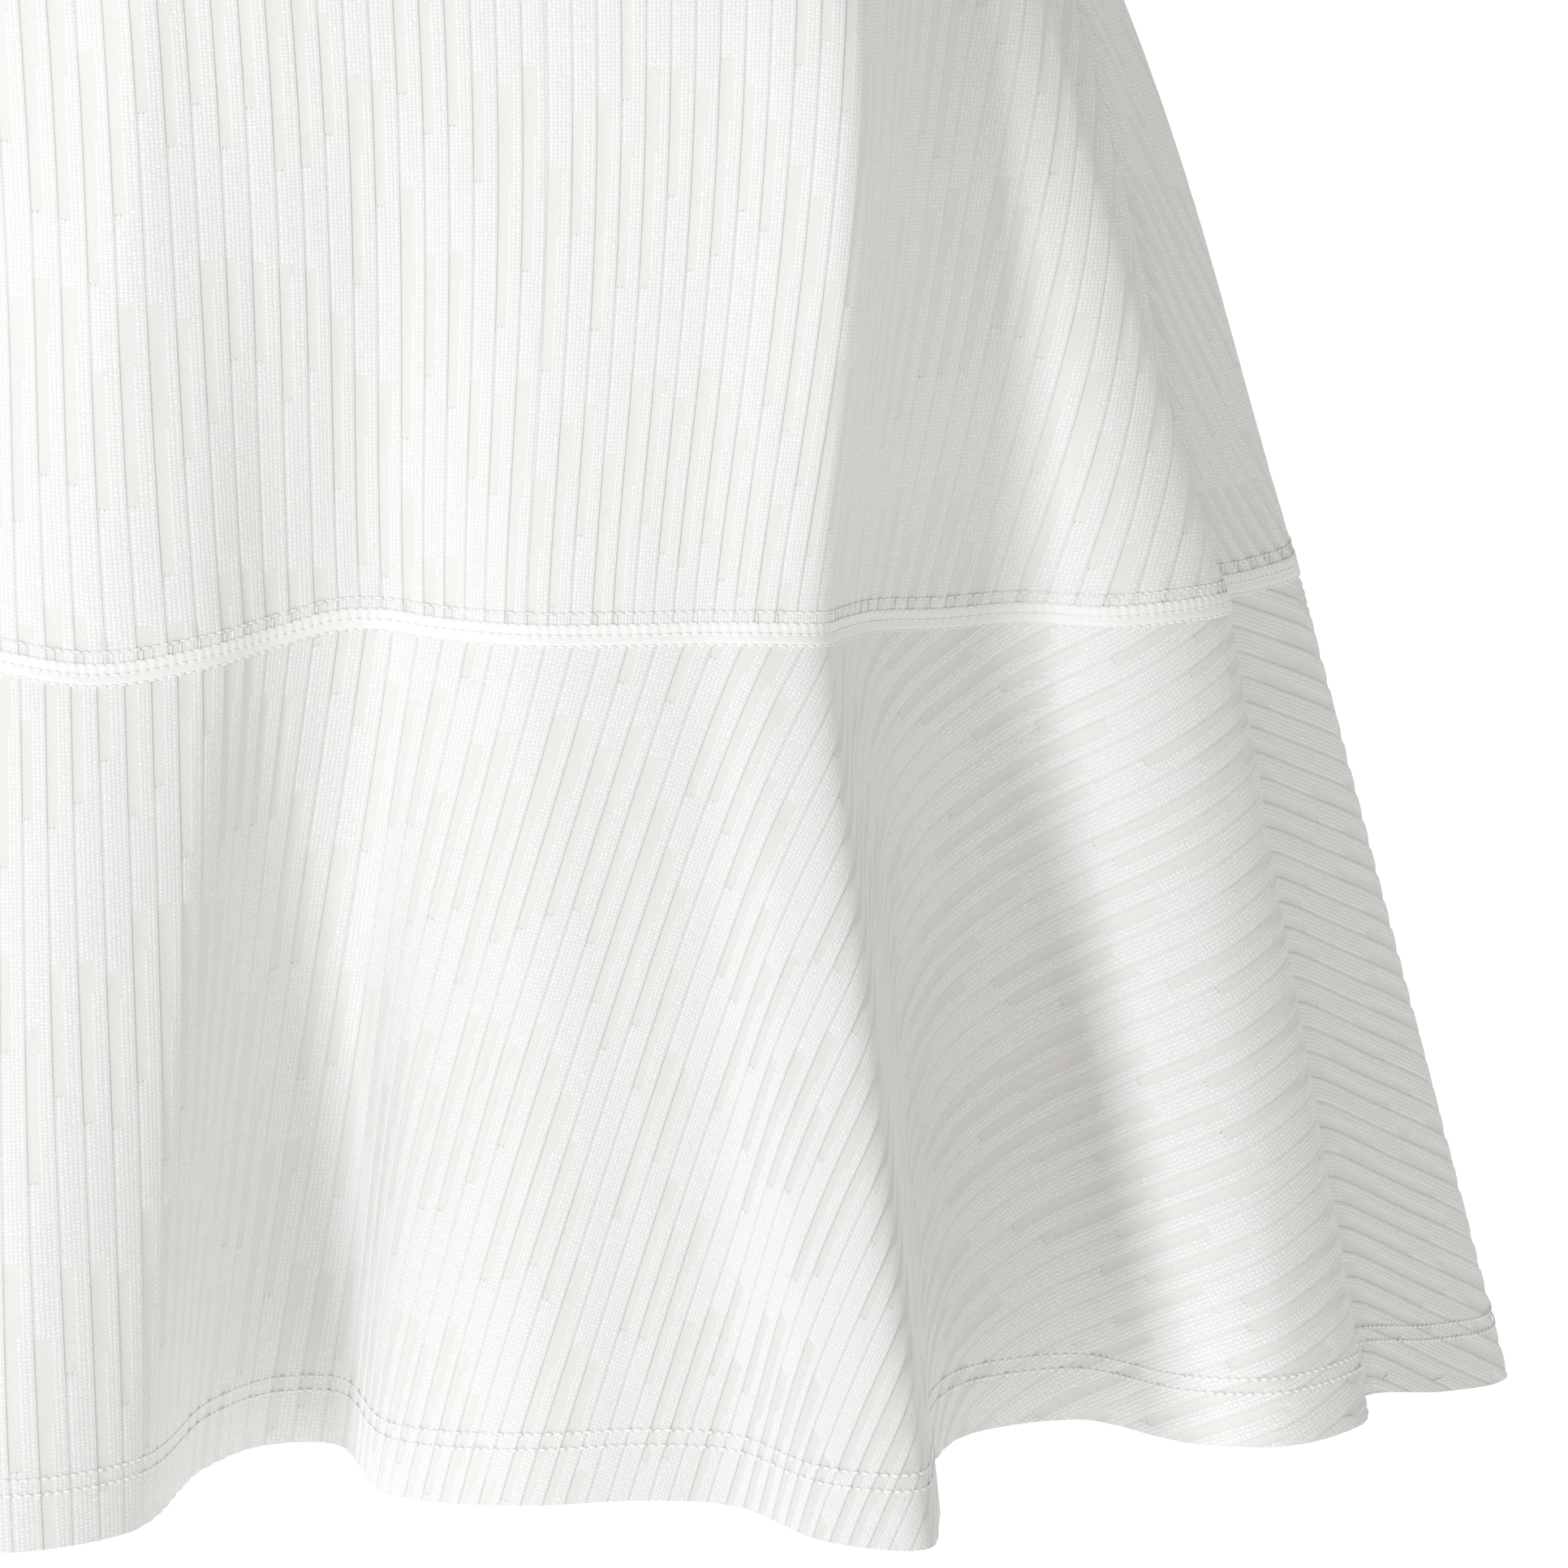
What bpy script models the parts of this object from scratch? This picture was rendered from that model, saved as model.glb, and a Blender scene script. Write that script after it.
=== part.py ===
"""A sleeveless tennis dress in ribbed double knit, worn shape, held at the shoulders.

The front faces -Y and +X is the wearer's left. The origin lies midway between the two
neck points of the shoulder seams. A front and a back panel reach from the shoulders to a
seam below the hip, a circular-cut flounce hangs from each, and narrow bands finish the
neck and the armholes. Each piece is a cloth wall with ribs raised in its outer face.
"""

from functools import lru_cache
import math

import bmesh
import bpy
from mathutils import Vector
from mathutils.geometry import delaunay_2d_cdt
import numpy as np

MM = 0.001

# Driving dimensions
WALL = 1.9 * MM                   # thickness of the cloth between the ribs
SEAM_GAP = 0.35 * MM              # between two pieces that are sewn together
RIB_PITCH = 17.1 * MM             # three ribs of the knit, drawn together as one
RIB_HEIGHT = 0.5 * MM
BAND_WIDTH = 10.0 * MM
BAND_THICKNESS = 2.2 * MM
SEAM_DEPTH = 730 * MM             # along the cloth, from the shoulder line to the flounce
SEAM_LEVEL = -684 * MM
HIP_DEPTH = 595 * MM
HIP_LEVEL = -550 * MM
HEM_LEVEL = -867 * MM
FLOUNCE_LENGTH = 188 * MM
FLOUNCE_HALF_ANGLE = math.radians(78)
FLOUNCE_TOP_RADIUS = 229 * MM

# Neckline and armholes, as flat sizes across from the centre and down from the shoulder
NECK_HALF_WIDTH = 85 * MM
FRONT_NECK_DEPTH = 112 * MM
BACK_NECK_DEPTH = 38 * MM
NECK_SQUARENESS = 0.9             # 1 is an ellipse, less is squarer
SHOULDER_HALF_WIDTH = 150 * MM
SHOULDER_SLOPE = 0.42             # fall of the shoulder line over its length
SHOULDER_ROUNDING = 40 * MM       # width over which the slope turns level at the neck
SLOPE_FADE = 60 * MM              # depth over which the shoulder's slope dies away
ARMHOLE_DEPTH = 280 * MM
ARMHOLE_SQUARENESS = 0.7
FRONT_SCOOP = 12 * MM             # how far the armhole is hollowed
BACK_SCOOP = 8 * MM

# Body rings above the hip: depth along the cloth, level, half width, front and back (mm)
TORSO = (
    # depth  level  half width  front  back
    (0,        0,      170,       0,     0),
    (20,      -5,      168,      19,    19),
    (50,     -25,      166,      41,    42),
    (90,     -58,      165,      63,    70),
    (140,   -104,      166,      85,    92),
    (200,   -161,      169,     103,   105),
    (280,   -239,      172,     117,   108),
    (345,   -303,      169,     113,   101),
    (445,   -402,      161,     104,    91),
    (515,   -471,      178,     104,    95),
)

# Folds on the +X side, from the centre front (turn 0) past the side seam (turn 1) to the
# centre back (turn 2): the place at the hip, seam and hem, and the drop below the level
FOLDS = (
    # name  turn  hip x    y  seam x    y  drop  hem x    y  drop (mm)
    ("A1", 0.00,     0, -104,   -10, -130,   5,   -34, -191,  -1),
    ("A2", 0.06,    12, -104,    12, -127,   3,    -6, -180,  -1),
    ("B1", 0.12,    26, -104,    30, -114,   1,    12, -124,   2),
    ("B2", 0.17,    37, -104,    41, -108,  -1,    24, -101,   3),
    ("B3", 0.22,    49, -103,    51, -107,  -1,    39, -102,   3),
    ("C1", 0.28,    64, -102,    63, -112,   0,    50, -144,   2),
    ("C2", 0.36,    84, -101,    82, -120,   0,    78, -167,  -2),
    ("C3", 0.44,   104, -101,   103, -122,   0,   105, -168,  -3),
    ("D1", 0.52,   124, -101,   120, -118,   0,   124, -169,  -2),
    ("D2", 0.59,   141, -100,   135, -121,   0,   138, -190,   1),
    ("D3", 0.66,   154,  -96,   146, -114,   1,   159, -190,   2),
    ("E1", 0.72,   163,  -82,   156,  -92,   5,   167, -158,   3),
    ("E2", 0.77,   168,  -72,   167,  -75,   8,   174, -104,   6),
    ("E3", 0.81,   174,  -64,   180,  -66,  10,   187,  -76,   9),
    ("E4", 0.85,   182,  -57,   195,  -62,  10,   207,  -75,   9),
    ("F1", 0.89,   188,  -52,   211,  -65,  10,   227, -103,   6),
    ("F2", 0.93,   195,  -44,   229,  -61,  10,   252, -119,   3),
    ("F3", 0.97,   198,  -31,   239,  -46,  11,   271, -102,   4),
    ("S1", 1.00,   205,  -15,   237,  -28,  13,   273,  -55,  10),
    ("G1", 1.05,   212,    0,   248,  -11,  15,   292,  -28,  18),
    ("G2", 1.12,   217,   17,   259,    8,  16,   309,    0,  23),
    ("G3", 1.20,   215,   37,   257,   28,  16,   301,   34,  21),
    ("H1", 1.28,   206,   53,   246,   43,  15,   264,   50,  17),
    ("H2", 1.36,   192,   67,   234,   58,  14,   246,   72,  14),
    ("I1", 1.44,   173,   77,   221,   75,  12,   250,  116,  10),
    ("I2", 1.52,   154,   84,   202,   88,  10,   230,  136,   8),
    ("J1", 1.60,   134,   89,   179,   90,   8,   197,  108,   8),
    ("J2", 1.68,   113,   92,   156,   93,   6,   169,  108,   6),
    ("K1", 1.76,    91,   93,   132,  103,   4,   145,  156,   2),
    ("K2", 1.84,    68,   94,   103,  106,   3,   112,  164,   1),
    ("L1", 1.90,    46,   94,    74,   98,   2,    84,  116,   3),
    ("L2", 1.95,    24,   94,    48,   98,   2,    56,  116,   3),
    ("M1", 1.98,     8,   94,    22,  105,   1,    26,  158,  -1),
    ("N1", 2.00,     0,   94,     0,  107,   1,     0,  162,  -1),
)
FOLD_COLUMNS = ("hip_x", "hip_y", "seam_x", "seam_y", "seam_drop", "hem_x", "hem_y", "hem_drop")
HIP_DROPS = ((0, 0), (0.6, 0), (1, 14), (1.3, 18), (2, 4))    # turn and drop at the hip (mm)
CENTRE_REACH = 0.6                # how far round the slant of the centre fold is felt
SWAY = 7                          # how far the hem on the -X side strays from a mirror image (mm)
SWAY_ACROSS = 7                   # how fast it strays to and fro, in radians for each turn
SWAY_AWAY = 11
BODY_SQUARENESS = 0.85            # 1 is an ellipse, less is squarer

# Spacing of the points that shape the walls
STEPS = 8                         # points of a ring in each span between two folds
QUARTER_POINTS = 181              # points that measure a quarter of a body ring
PANEL_GRID_ROWS = 147
FLOUNCE_GRID_ROWS = 9
PANEL_ROWS = (14, 36, 70, 118, 180, 248, 315, 375, 428, 475,
              515, 550, 582, 610, 636, 657, 677, 696, 714)      # depths (mm)
FLOUNCE_ROW = 15 * MM
INNER_PANEL_STEP = 16 * MM
INNER_FLOUNCE_STEP = 7.5 * MM
INNER_FLOUNCE_ROWS = 3
EDGE_CLEARANCE = 3.5 * MM         # no point of a rib comes nearer to an edge
INNER_CLEARANCE = 7 * MM          # nor a point of the inner face
SNAP = 2 * MM                     # a rib ends at an outline's own point if it is this near
CUT_TOLERANCE = 0.001 * MM        # points of the flat piece that are this near are one
SIDE_POINTS = 16
ARMHOLE_POINTS = 15
NECK_POINTS = 11
HEM_POINTS = 101
SEAM_POINTS = 61
FLOUNCE_SIDE_POINTS = 8

KNIT_COLOUR = (0.90, 0.90, 0.89, 1.0)
BAND_COLOUR = (0.91, 0.91, 0.90, 1.0)
KNIT_ROUGHNESS = 0.85
SHARP_ANGLE = math.radians(50)


def hermite(start, leave, arrive, end, t):
    """Cubic between start and end with the given slopes, at the fraction t."""
    return (start * (2 * t**3 - 3 * t**2 + 1) + leave * (t**3 - 2 * t**2 + t)
            + end * (3 * t**2 - 2 * t**3) + arrive * (t**3 - t**2))


def smooth_loop(points):
    """A closed smooth curve through the points, with STEPS points in each span."""
    before, start, end, after = (np.roll(points, shift, axis=0) for shift in (1, 0, -1, -2))
    spans = ((before, start), (start, end), (end, after))
    last, this, following = (np.sqrt(np.linalg.norm(b - a, axis=1))[:, None] for a, b in spans)
    leave = this * ((start - before) / last - (end - before) / (last + this)
                    + (end - start) / this)
    arrive = this * ((end - start) / this - (after - start) / (this + following)
                     + (after - end) / following)
    parts = [hermite(start, leave, arrive, end, step / STEPS) for step in range(STEPS)]
    return np.stack(parts, axis=1).reshape(-1, points.shape[1])


def loop_folds():
    """Turn, side and places of every fold, from the -X side seam round by the front."""
    rows = [dict(zip(FOLD_COLUMNS, row[2:]), turn=row[1], side=1.0) for row in FOLDS]
    centre = rows[0]
    mirrored = []
    for row in rows[1:-1]:
        other = dict(row, side=-1.0)
        felt = 2 * math.exp(-row["turn"] / CENTRE_REACH)
        for column in ("hip_x", "seam_x", "hem_x"):
            other[column] = felt * centre[column] - row[column]
        other["hem_x"] += SWAY * math.sin(SWAY_ACROSS * row["turn"])
        other["hem_y"] += SWAY * math.sin(SWAY_AWAY * row["turn"])
        mirrored.append(other)
    front = [row for row in mirrored if row["turn"] <= 1]
    back = [row for row in mirrored if row["turn"] > 1]
    return front[::-1] + rows + back[::-1]


def fold_ring(folds, place, level, drops):
    """A smooth ring through the folds at one level."""
    points = [(fold[place + "_x"] * MM, fold[place + "_y"] * MM, level - drop * MM)
              for fold, drop in zip(folds, drops)]
    return smooth_loop(np.array(points))


def torso_ring(turns, sides, row):
    """A superellipse ring of the body, with its points spaced by turn along each quarter."""
    depth, level, half_width, front, back = (value * MM for value in row)
    angles = np.linspace(0, math.pi / 2, QUARTER_POINTS)
    ring = np.empty((len(turns), 3))
    for reach, sign in ((front, -1), (back, 1)):
        across = half_width * np.sin(angles) ** BODY_SQUARENESS
        away = reach * np.cos(angles) ** BODY_SQUARENESS
        arc = np.r_[0, np.cumsum(np.hypot(np.diff(across), np.diff(away)))]
        chosen = turns <= 1 if sign < 0 else turns > 1
        fraction = turns[chosen] if sign < 0 else 2 - turns[chosen]
        ring[chosen, 0] = sides[chosen] * np.interp(fraction, arc / arc[-1], across)
        ring[chosen, 1] = sign * np.interp(fraction, arc / arc[-1], away)
    fall = (np.hypot(ring[:, 0], SHOULDER_ROUNDING)
            - math.hypot(NECK_HALF_WIDTH, SHOULDER_ROUNDING))
    ring[:, 2] = level - SHOULDER_SLOPE * fall * math.exp(-depth / SLOPE_FADE)
    return ring


def between_rings(depths, rings, wanted):
    """Rings at the wanted depths, on smooth lines through the given rings."""
    slopes = np.gradient(rings, depths, axis=0)
    result = []
    for depth in wanted:
        i = min(np.searchsorted(depths, depth, side="right") - 1, len(depths) - 2)
        span = depths[i + 1] - depths[i]
        t = (depth - depths[i]) / span
        result.append(hermite(rings[i], slopes[i] * span, slopes[i + 1] * span, rings[i + 1], t))
    return np.array(result)


def ring_normals(grid):
    """Outward directions on a grid of closed rings that are listed downwards."""
    around = np.roll(grid, -1, axis=1) - np.roll(grid, 1, axis=1)
    down = np.gradient(grid, axis=0)
    normals = np.cross(down, around)
    return normals / np.linalg.norm(normals, axis=2, keepdims=True)


class Sheet:
    """The draped middle of one piece: rows of points down it, each from u = -1 to u = 1."""

    def __init__(self, depths, grid, normals, first, centre, last):
        count = grid.shape[1]
        chosen = np.arange(first, last + 1) % count
        self.depths = depths
        self.grid = grid[:, chosen]
        self.normals = normals[:, chosen]
        steps = np.linalg.norm(np.diff(self.grid, axis=1), axis=2)
        arcs = np.concatenate([np.zeros((len(depths), 1)), np.cumsum(steps, axis=1)], axis=1)
        middle = arcs[:, centre - first][:, None]
        below = arcs - middle
        above = arcs[:, -1][:, None] - middle
        self.half_widths = arcs[:, -1] / 2
        self.u = np.where(below < 0, below / middle, below / above)

    def half_width(self, depth):
        """Length of cloth from the centre to a side seam."""
        return float(np.interp(depth, self.depths, self.half_widths))

    def at(self, u, depth):
        """The point of the sheet and the outward direction there."""
        j = int(np.clip(np.searchsorted(self.depths, depth, side="right") - 1,
                        0, len(self.depths) - 2))
        t = (depth - self.depths[j]) / (self.depths[j + 1] - self.depths[j])
        found = []
        for field in (self.grid, self.normals):
            rows = [np.array([np.interp(u, self.u[k], field[k, :, axis]) for axis in range(3)])
                    for k in (j, j + 1)]
            found.append(Vector(rows[0] * (1 - t) + rows[1] * t))
        return found[0], found[1].normalized()


@lru_cache(maxsize=None)
def draped_sheets():
    """The sheets of both panels and both flounces."""
    folds = loop_folds()
    turns = np.array([fold["turn"] for fold in folds])
    sides = np.array([fold["side"] for fold in folds])
    next_turns = np.roll(turns, -1)
    fractions = np.arange(STEPS) / STEPS
    turns = (turns[:, None] + (next_turns - turns)[:, None] * fractions).ravel()
    centre_front = folds.index(next(fold for fold in folds if fold["turn"] == 0)) * STEPS
    centre_back = folds.index(next(fold for fold in folds if fold["turn"] == 2)) * STEPS
    near_side = [i * STEPS for i, fold in enumerate(folds) if fold["turn"] == 1]
    left, right = near_side[0], near_side[1]
    count = len(turns)
    sides = np.where(np.arange(count) < centre_front, -1.0, 1.0)
    sides[centre_back:] = -1.0

    hip_turns, hip_drops = zip(*HIP_DROPS)
    hip = fold_ring(folds, "hip", HIP_LEVEL,
                    np.interp([fold["turn"] for fold in folds], hip_turns, hip_drops))
    seam = fold_ring(folds, "seam", SEAM_LEVEL, [fold["seam_drop"] for fold in folds])
    hem = fold_ring(folds, "hem", HEM_LEVEL, [fold["hem_drop"] for fold in folds])
    torso = [torso_ring(turns, sides, row) for row in TORSO]
    depths = np.array([row[0] * MM for row in TORSO] + [HIP_DEPTH, SEAM_DEPTH])

    panel_depths = np.linspace(0, SEAM_DEPTH, PANEL_GRID_ROWS)
    panel_grid = between_rings(depths, np.array(torso + [hip, seam]), panel_depths)
    flounce_depths = np.linspace(0, FLOUNCE_LENGTH, FLOUNCE_GRID_ROWS)
    fractions = (flounce_depths / FLOUNCE_LENGTH)[:, None, None]
    flounce_grid = seam * (1 - fractions) + hem * fractions

    panel_normals = ring_normals(panel_grid)
    panel_normals[0, :, 1] = 0                # both panels share the shoulder line
    panel_normals[0] /= np.linalg.norm(panel_normals[0], axis=1, keepdims=True)
    flounce_normals = ring_normals(flounce_grid)
    shared = panel_normals[-1] + flounce_normals[0]
    shared /= np.linalg.norm(shared, axis=1, keepdims=True)
    panel_normals[-1] = shared
    flounce_normals[0] = shared

    front = (left, centre_front, right)
    back = (right, centre_back, left + count)
    return {
        "front_panel": Sheet(panel_depths, panel_grid, panel_normals, *front),
        "back_panel": Sheet(panel_depths, panel_grid, panel_normals, *back),
        "front_flounce": Sheet(flounce_depths, flounce_grid, flounce_normals, *front),
        "back_flounce": Sheet(flounce_depths, flounce_grid, flounce_normals, *back),
    }


def panel_outline(sheet, neck_depth, scoop):
    """The flat outline of a panel, anticlockwise, and the runs along its neck and armhole."""
    edge = SEAM_GAP / 2
    hem_row = SEAM_DEPTH - edge
    side_rows = np.linspace(SEAM_DEPTH, ARMHOLE_DEPTH, SIDE_POINTS)
    side = [(sheet.half_width(row) - edge, min(row, hem_row)) for row in side_rows]
    underarm = side[-1][0]
    angles = np.linspace(math.pi / 2, 0, ARMHOLE_POINTS)
    taper = underarm - SHOULDER_HALF_WIDTH
    armhole = [(underarm - taper * math.cos(angle) ** ARMHOLE_SQUARENESS
                - scoop * math.sin(2 * angle),
                edge + (ARMHOLE_DEPTH - edge) * math.sin(angle)) for angle in angles]
    angles = np.linspace(0, math.pi / 2, NECK_POINTS)
    neck = [(NECK_HALF_WIDTH * math.cos(angle) ** NECK_SQUARENESS,
             edge + (neck_depth - edge) * math.sin(angle) ** NECK_SQUARENESS)
            for angle in angles]
    shoulder = [((SHOULDER_HALF_WIDTH + NECK_HALF_WIDTH) / 2, edge)]
    half = side + armhole[1:] + shoulder + neck
    mirrored = [(-across, depth) for across, depth in half[-2::-1]]
    return (half + mirrored)[::-1], neck, armhole


def flounce_outline():
    """The flat ring sector of a flounce, anticlockwise, with its centre of radius at (0, 0)."""
    edge = SEAM_GAP / 2
    inner = FLOUNCE_TOP_RADIUS + edge
    outer = FLOUNCE_TOP_RADIUS + FLOUNCE_LENGTH
    hem_limit = FLOUNCE_HALF_ANGLE - edge / outer
    top_limit = FLOUNCE_HALF_ANGLE - edge / inner
    outline = [(outer * math.sin(angle), outer * math.cos(angle))
               for angle in np.linspace(-hem_limit, hem_limit, HEM_POINTS)]
    outline += [(radius * math.sin(hem_limit), radius * math.cos(hem_limit))
                for radius in np.linspace(outer, inner, FLOUNCE_SIDE_POINTS)[1:-1]]
    outline += [(inner * math.sin(angle), inner * math.cos(angle))
                for angle in np.linspace(top_limit, -top_limit, SEAM_POINTS)]
    outline += [(-radius * math.sin(hem_limit), radius * math.cos(hem_limit))
                for radius in np.linspace(inner, outer, FLOUNCE_SIDE_POINTS)[1:-1]]
    return outline[::-1]


def rib_lines(outline, rows, staggered):
    """Split the outline where ribs cross it.

    Returns all points, the outline and the ribs as lists of indices into them, and the set
    of points on raised ribs. Staggered points lie half a row lower on every other rib."""
    points = [Vector(point) for point in outline]
    loop = list(range(len(points)))
    reach = int(max(point.x for point in points) / (RIB_PITCH / 2)) + 1
    ribs = []
    raised = set()
    for rib in range(-reach, reach):
        across = (rib + 0.5) * RIB_PITCH / 2
        ends = []
        split = []
        for here, there in zip(loop, loop[1:] + loop[:1]):
            split.append(here)
            a, b = points[here], points[there]
            if (a.x - across) * (b.x - across) >= 0:
                continue
            crossing = a.lerp(b, (across - a.x) / (b.x - a.x))
            near = [end for end in (here, there) if (points[end] - crossing).length < SNAP]
            if near:
                ends.append(near[0])
            else:
                points.append(crossing)
                ends.append(len(points) - 1)
                split.append(len(points) - 1)
        loop = split
        ends.sort(key=lambda end: points[end].y)
        for top, bottom in zip(ends[0::2], ends[1::2]):
            first = points[top].y + EDGE_CLEARANCE
            last = points[bottom].y - EDGE_CLEARANCE
            line = [top]
            levels = (rows[1:] + rows[:-1]) / 2 if staggered and rib % 2 else rows
            for depth in levels[(levels > first) & (levels < last)]:
                points.append(Vector((across, depth)))
                line.append(len(points) - 1)
            if rib % 2:
                raised.update(line[1:])
            ribs.append(line + [bottom])
    return points, loop, ribs, raised


def clear_points(candidates, outline):
    """The candidates that lie well away from the outline's edges."""
    starts = np.array(outline)
    spans = np.roll(starts, -1, axis=0) - starts
    lengths = np.maximum((spans ** 2).sum(axis=1), 1e-12)
    kept = []
    for point in candidates:
        t = np.clip(((point - starts) * spans).sum(axis=1) / lengths, 0, 1)[:, None]
        if np.linalg.norm(starts + spans * t - point, axis=1).min() > INNER_CLEARANCE:
            kept.append(Vector(point))
    return kept


def triangulate(points, lines):
    """Triangles inside the closed outline, with the lines kept as edges."""
    edges = [pair for line in lines for pair in zip(line, line[1:])]
    found = delaunay_2d_cdt(points, edges, [], 1, CUT_TOLERANCE)
    places, triangles, origins = found[0], found[2], found[3]
    return places, triangles, origins


def cloth_wall(name, lines, inner_candidates, to_sheet, sheet):
    """A closed wall: ribbed outer face, plain inner face and the cut edge between them."""
    points, loop, ribs, raised = lines
    rim = [points[index] for index in loop]
    inner = rim + clear_points(inner_candidates, rim)
    closed_rim = list(range(len(rim))) + [0]

    mesh = bmesh.new()

    def face_points(flat, lift):
        placed = []
        for index, point in enumerate(flat):
            place, outward = sheet.at(*to_sheet(point.x, point.y))
            placed.append(mesh.verts.new(place + outward * lift(index)))
        return placed

    outer_flat, outer_faces, origins = triangulate(points, [loop + loop[:1]] + ribs)
    outer_of = {source: index for index, sources in enumerate(origins) for source in sources}
    ribbed = {outer_of[index] for index in raised}
    outer = face_points(outer_flat, lambda index: RIB_HEIGHT if index in ribbed else 0.0)
    inner_flat, inner_faces, origins = triangulate(inner, [closed_rim])
    inner_of = {source: index for index, sources in enumerate(origins) for source in sources}
    inside = face_points(inner_flat, lambda index: -WALL)

    for corners in outer_faces:
        mesh.faces.new([outer[index] for index in reversed(corners)])
    for corners in inner_faces:
        mesh.faces.new([inside[index] for index in corners])
    for k, index in enumerate(loop):
        following = (k + 1) % len(loop)
        a, b = outer[outer_of[index]], outer[outer_of[loop[following]]]
        c, d = inside[inner_of[following]], inside[inner_of[k]]
        mesh.faces.new((a, b, c))
        mesh.faces.new((a, c, d))
    loose = [vert for vert in mesh.verts if not vert.link_faces]
    bmesh.ops.delete(mesh, geom=loose, context="VERTS")
    return add_object(name, mesh, KNIT_COLOUR)


def band(name, runs):
    """A closed strip that continues the cloth past the edge along the given runs."""
    places = []
    outwards = []
    for sheet, edge in runs:
        for across, depth in edge[:-1]:
            place, outward = sheet.at(across / sheet.half_width(depth), depth)
            places.append(place)
            outwards.append(outward)
    mesh = bmesh.new()
    top = (BAND_THICKNESS - WALL) / 2
    section = ((SEAM_GAP, top), (BAND_WIDTH + SEAM_GAP, top),
               (BAND_WIDTH + SEAM_GAP, top - BAND_THICKNESS), (SEAM_GAP, top - BAND_THICKNESS))
    rings = []
    count = len(places)
    for k in range(count):
        along = places[(k + 1) % count] - places[k - 1]
        beyond = outwards[k].cross(along).normalized()
        rings.append([mesh.verts.new(places[k] + beyond * away + outwards[k] * lift)
                      for away, lift in section])
    for k in range(count):
        here, there = rings[k], rings[(k + 1) % count]
        for i in range(4):
            j = (i + 1) % 4
            mesh.faces.new((here[i], here[j], there[j]))
            mesh.faces.new((here[i], there[j], there[i]))
    bmesh.ops.recalc_face_normals(mesh, faces=mesh.faces)
    return add_object(name, mesh, BAND_COLOUR)


def add_object(name, mesh, colour):
    """Put the mesh in the dress's collection as an object with its own material."""
    data = bpy.data.meshes.new(name)
    mesh.to_mesh(data)
    mesh.free()
    data.shade_smooth()
    data.set_sharp_from_angle(angle=SHARP_ANGLE)
    material = bpy.data.materials.new(name + "_knit")
    material.use_nodes = True
    shader = material.node_tree.nodes["Principled BSDF"]
    shader.inputs["Base Color"].default_value = colour
    shader.inputs["Roughness"].default_value = KNIT_ROUGHNESS
    shader.inputs["Metallic"].default_value = 0.0
    data.materials.append(material)
    thing = bpy.data.objects.new(name, data)
    bpy.data.collections["tennis_dress"].objects.link(thing)
    return thing


def add_panel(name, outline):
    """One panel, with its flat outline laid on its sheet."""
    sheet = draped_sheets()[name]

    def to_sheet(across, depth):
        half_width = sheet.half_width(depth)
        limit = 1 - SEAM_GAP / 2 / half_width
        return max(-limit, min(limit, across / half_width)), depth

    rows = np.array(PANEL_ROWS) * MM
    columns = int(2 * sheet.half_width(SEAM_DEPTH) / INNER_PANEL_STEP)
    candidates = [(u * sheet.half_width(depth), depth)
                  for depth in rows for u in np.linspace(-1, 1, columns + 1)[1:-1]]
    return cloth_wall(name, rib_lines(outline, rows, False), candidates, to_sheet, sheet)


def add_flounce(name):
    """One flounce, a flat ring sector laid on its sheet."""
    sheet = draped_sheets()[name]

    def to_sheet(across, along):
        radius = math.hypot(across, along)
        return math.atan2(across, along) / FLOUNCE_HALF_ANGLE, radius - FLOUNCE_TOP_RADIUS

    middle = FLOUNCE_TOP_RADIUS + FLOUNCE_LENGTH / 2
    columns = int(2 * FLOUNCE_HALF_ANGLE * middle / INNER_FLOUNCE_STEP)
    candidates = [(radius * math.sin(angle), radius * math.cos(angle))
                  for radius in np.linspace(FLOUNCE_TOP_RADIUS,
                                            FLOUNCE_TOP_RADIUS + FLOUNCE_LENGTH,
                                            INNER_FLOUNCE_ROWS + 2)[1:-1]
                  for angle in np.linspace(-FLOUNCE_HALF_ANGLE, FLOUNCE_HALF_ANGLE,
                                           columns + 1)[1:-1]]
    rows = np.arange(0, FLOUNCE_TOP_RADIUS + FLOUNCE_LENGTH, FLOUNCE_ROW)
    lines = rib_lines(flounce_outline(), rows, True)
    return cloth_wall(name, lines, candidates, to_sheet, sheet)


def build_dress():
    """All pieces of the dress."""
    for thing in list(bpy.data.objects):
        bpy.data.objects.remove(thing)
    bpy.context.scene.collection.children.link(bpy.data.collections.new("tennis_dress"))

    front = draped_sheets()["front_panel"]
    back = draped_sheets()["back_panel"]
    front_edge, front_neck, front_armhole = panel_outline(front, FRONT_NECK_DEPTH, FRONT_SCOOP)
    back_edge, back_neck, back_armhole = panel_outline(back, BACK_NECK_DEPTH, BACK_SCOOP)
    add_panel("front_panel", front_edge)
    add_panel("back_panel", back_edge)
    add_flounce("front_flounce")
    add_flounce("back_flounce")

    def mirrored(edge):
        return [(-across, depth) for across, depth in edge]

    def across_centre(edge):
        return mirrored(edge) + edge[-2::-1]

    # The front's positive side is +X and the back's is -X
    band("neck_band", [(front, across_centre(front_neck)), (back, across_centre(back_neck))])
    band("armhole_band_left", [(front, front_armhole[::-1]), (back, mirrored(back_armhole))])
    band("armhole_band_right", [(front, mirrored(front_armhole)), (back, back_armhole[::-1])])


build_dress()
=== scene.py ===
import math

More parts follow.
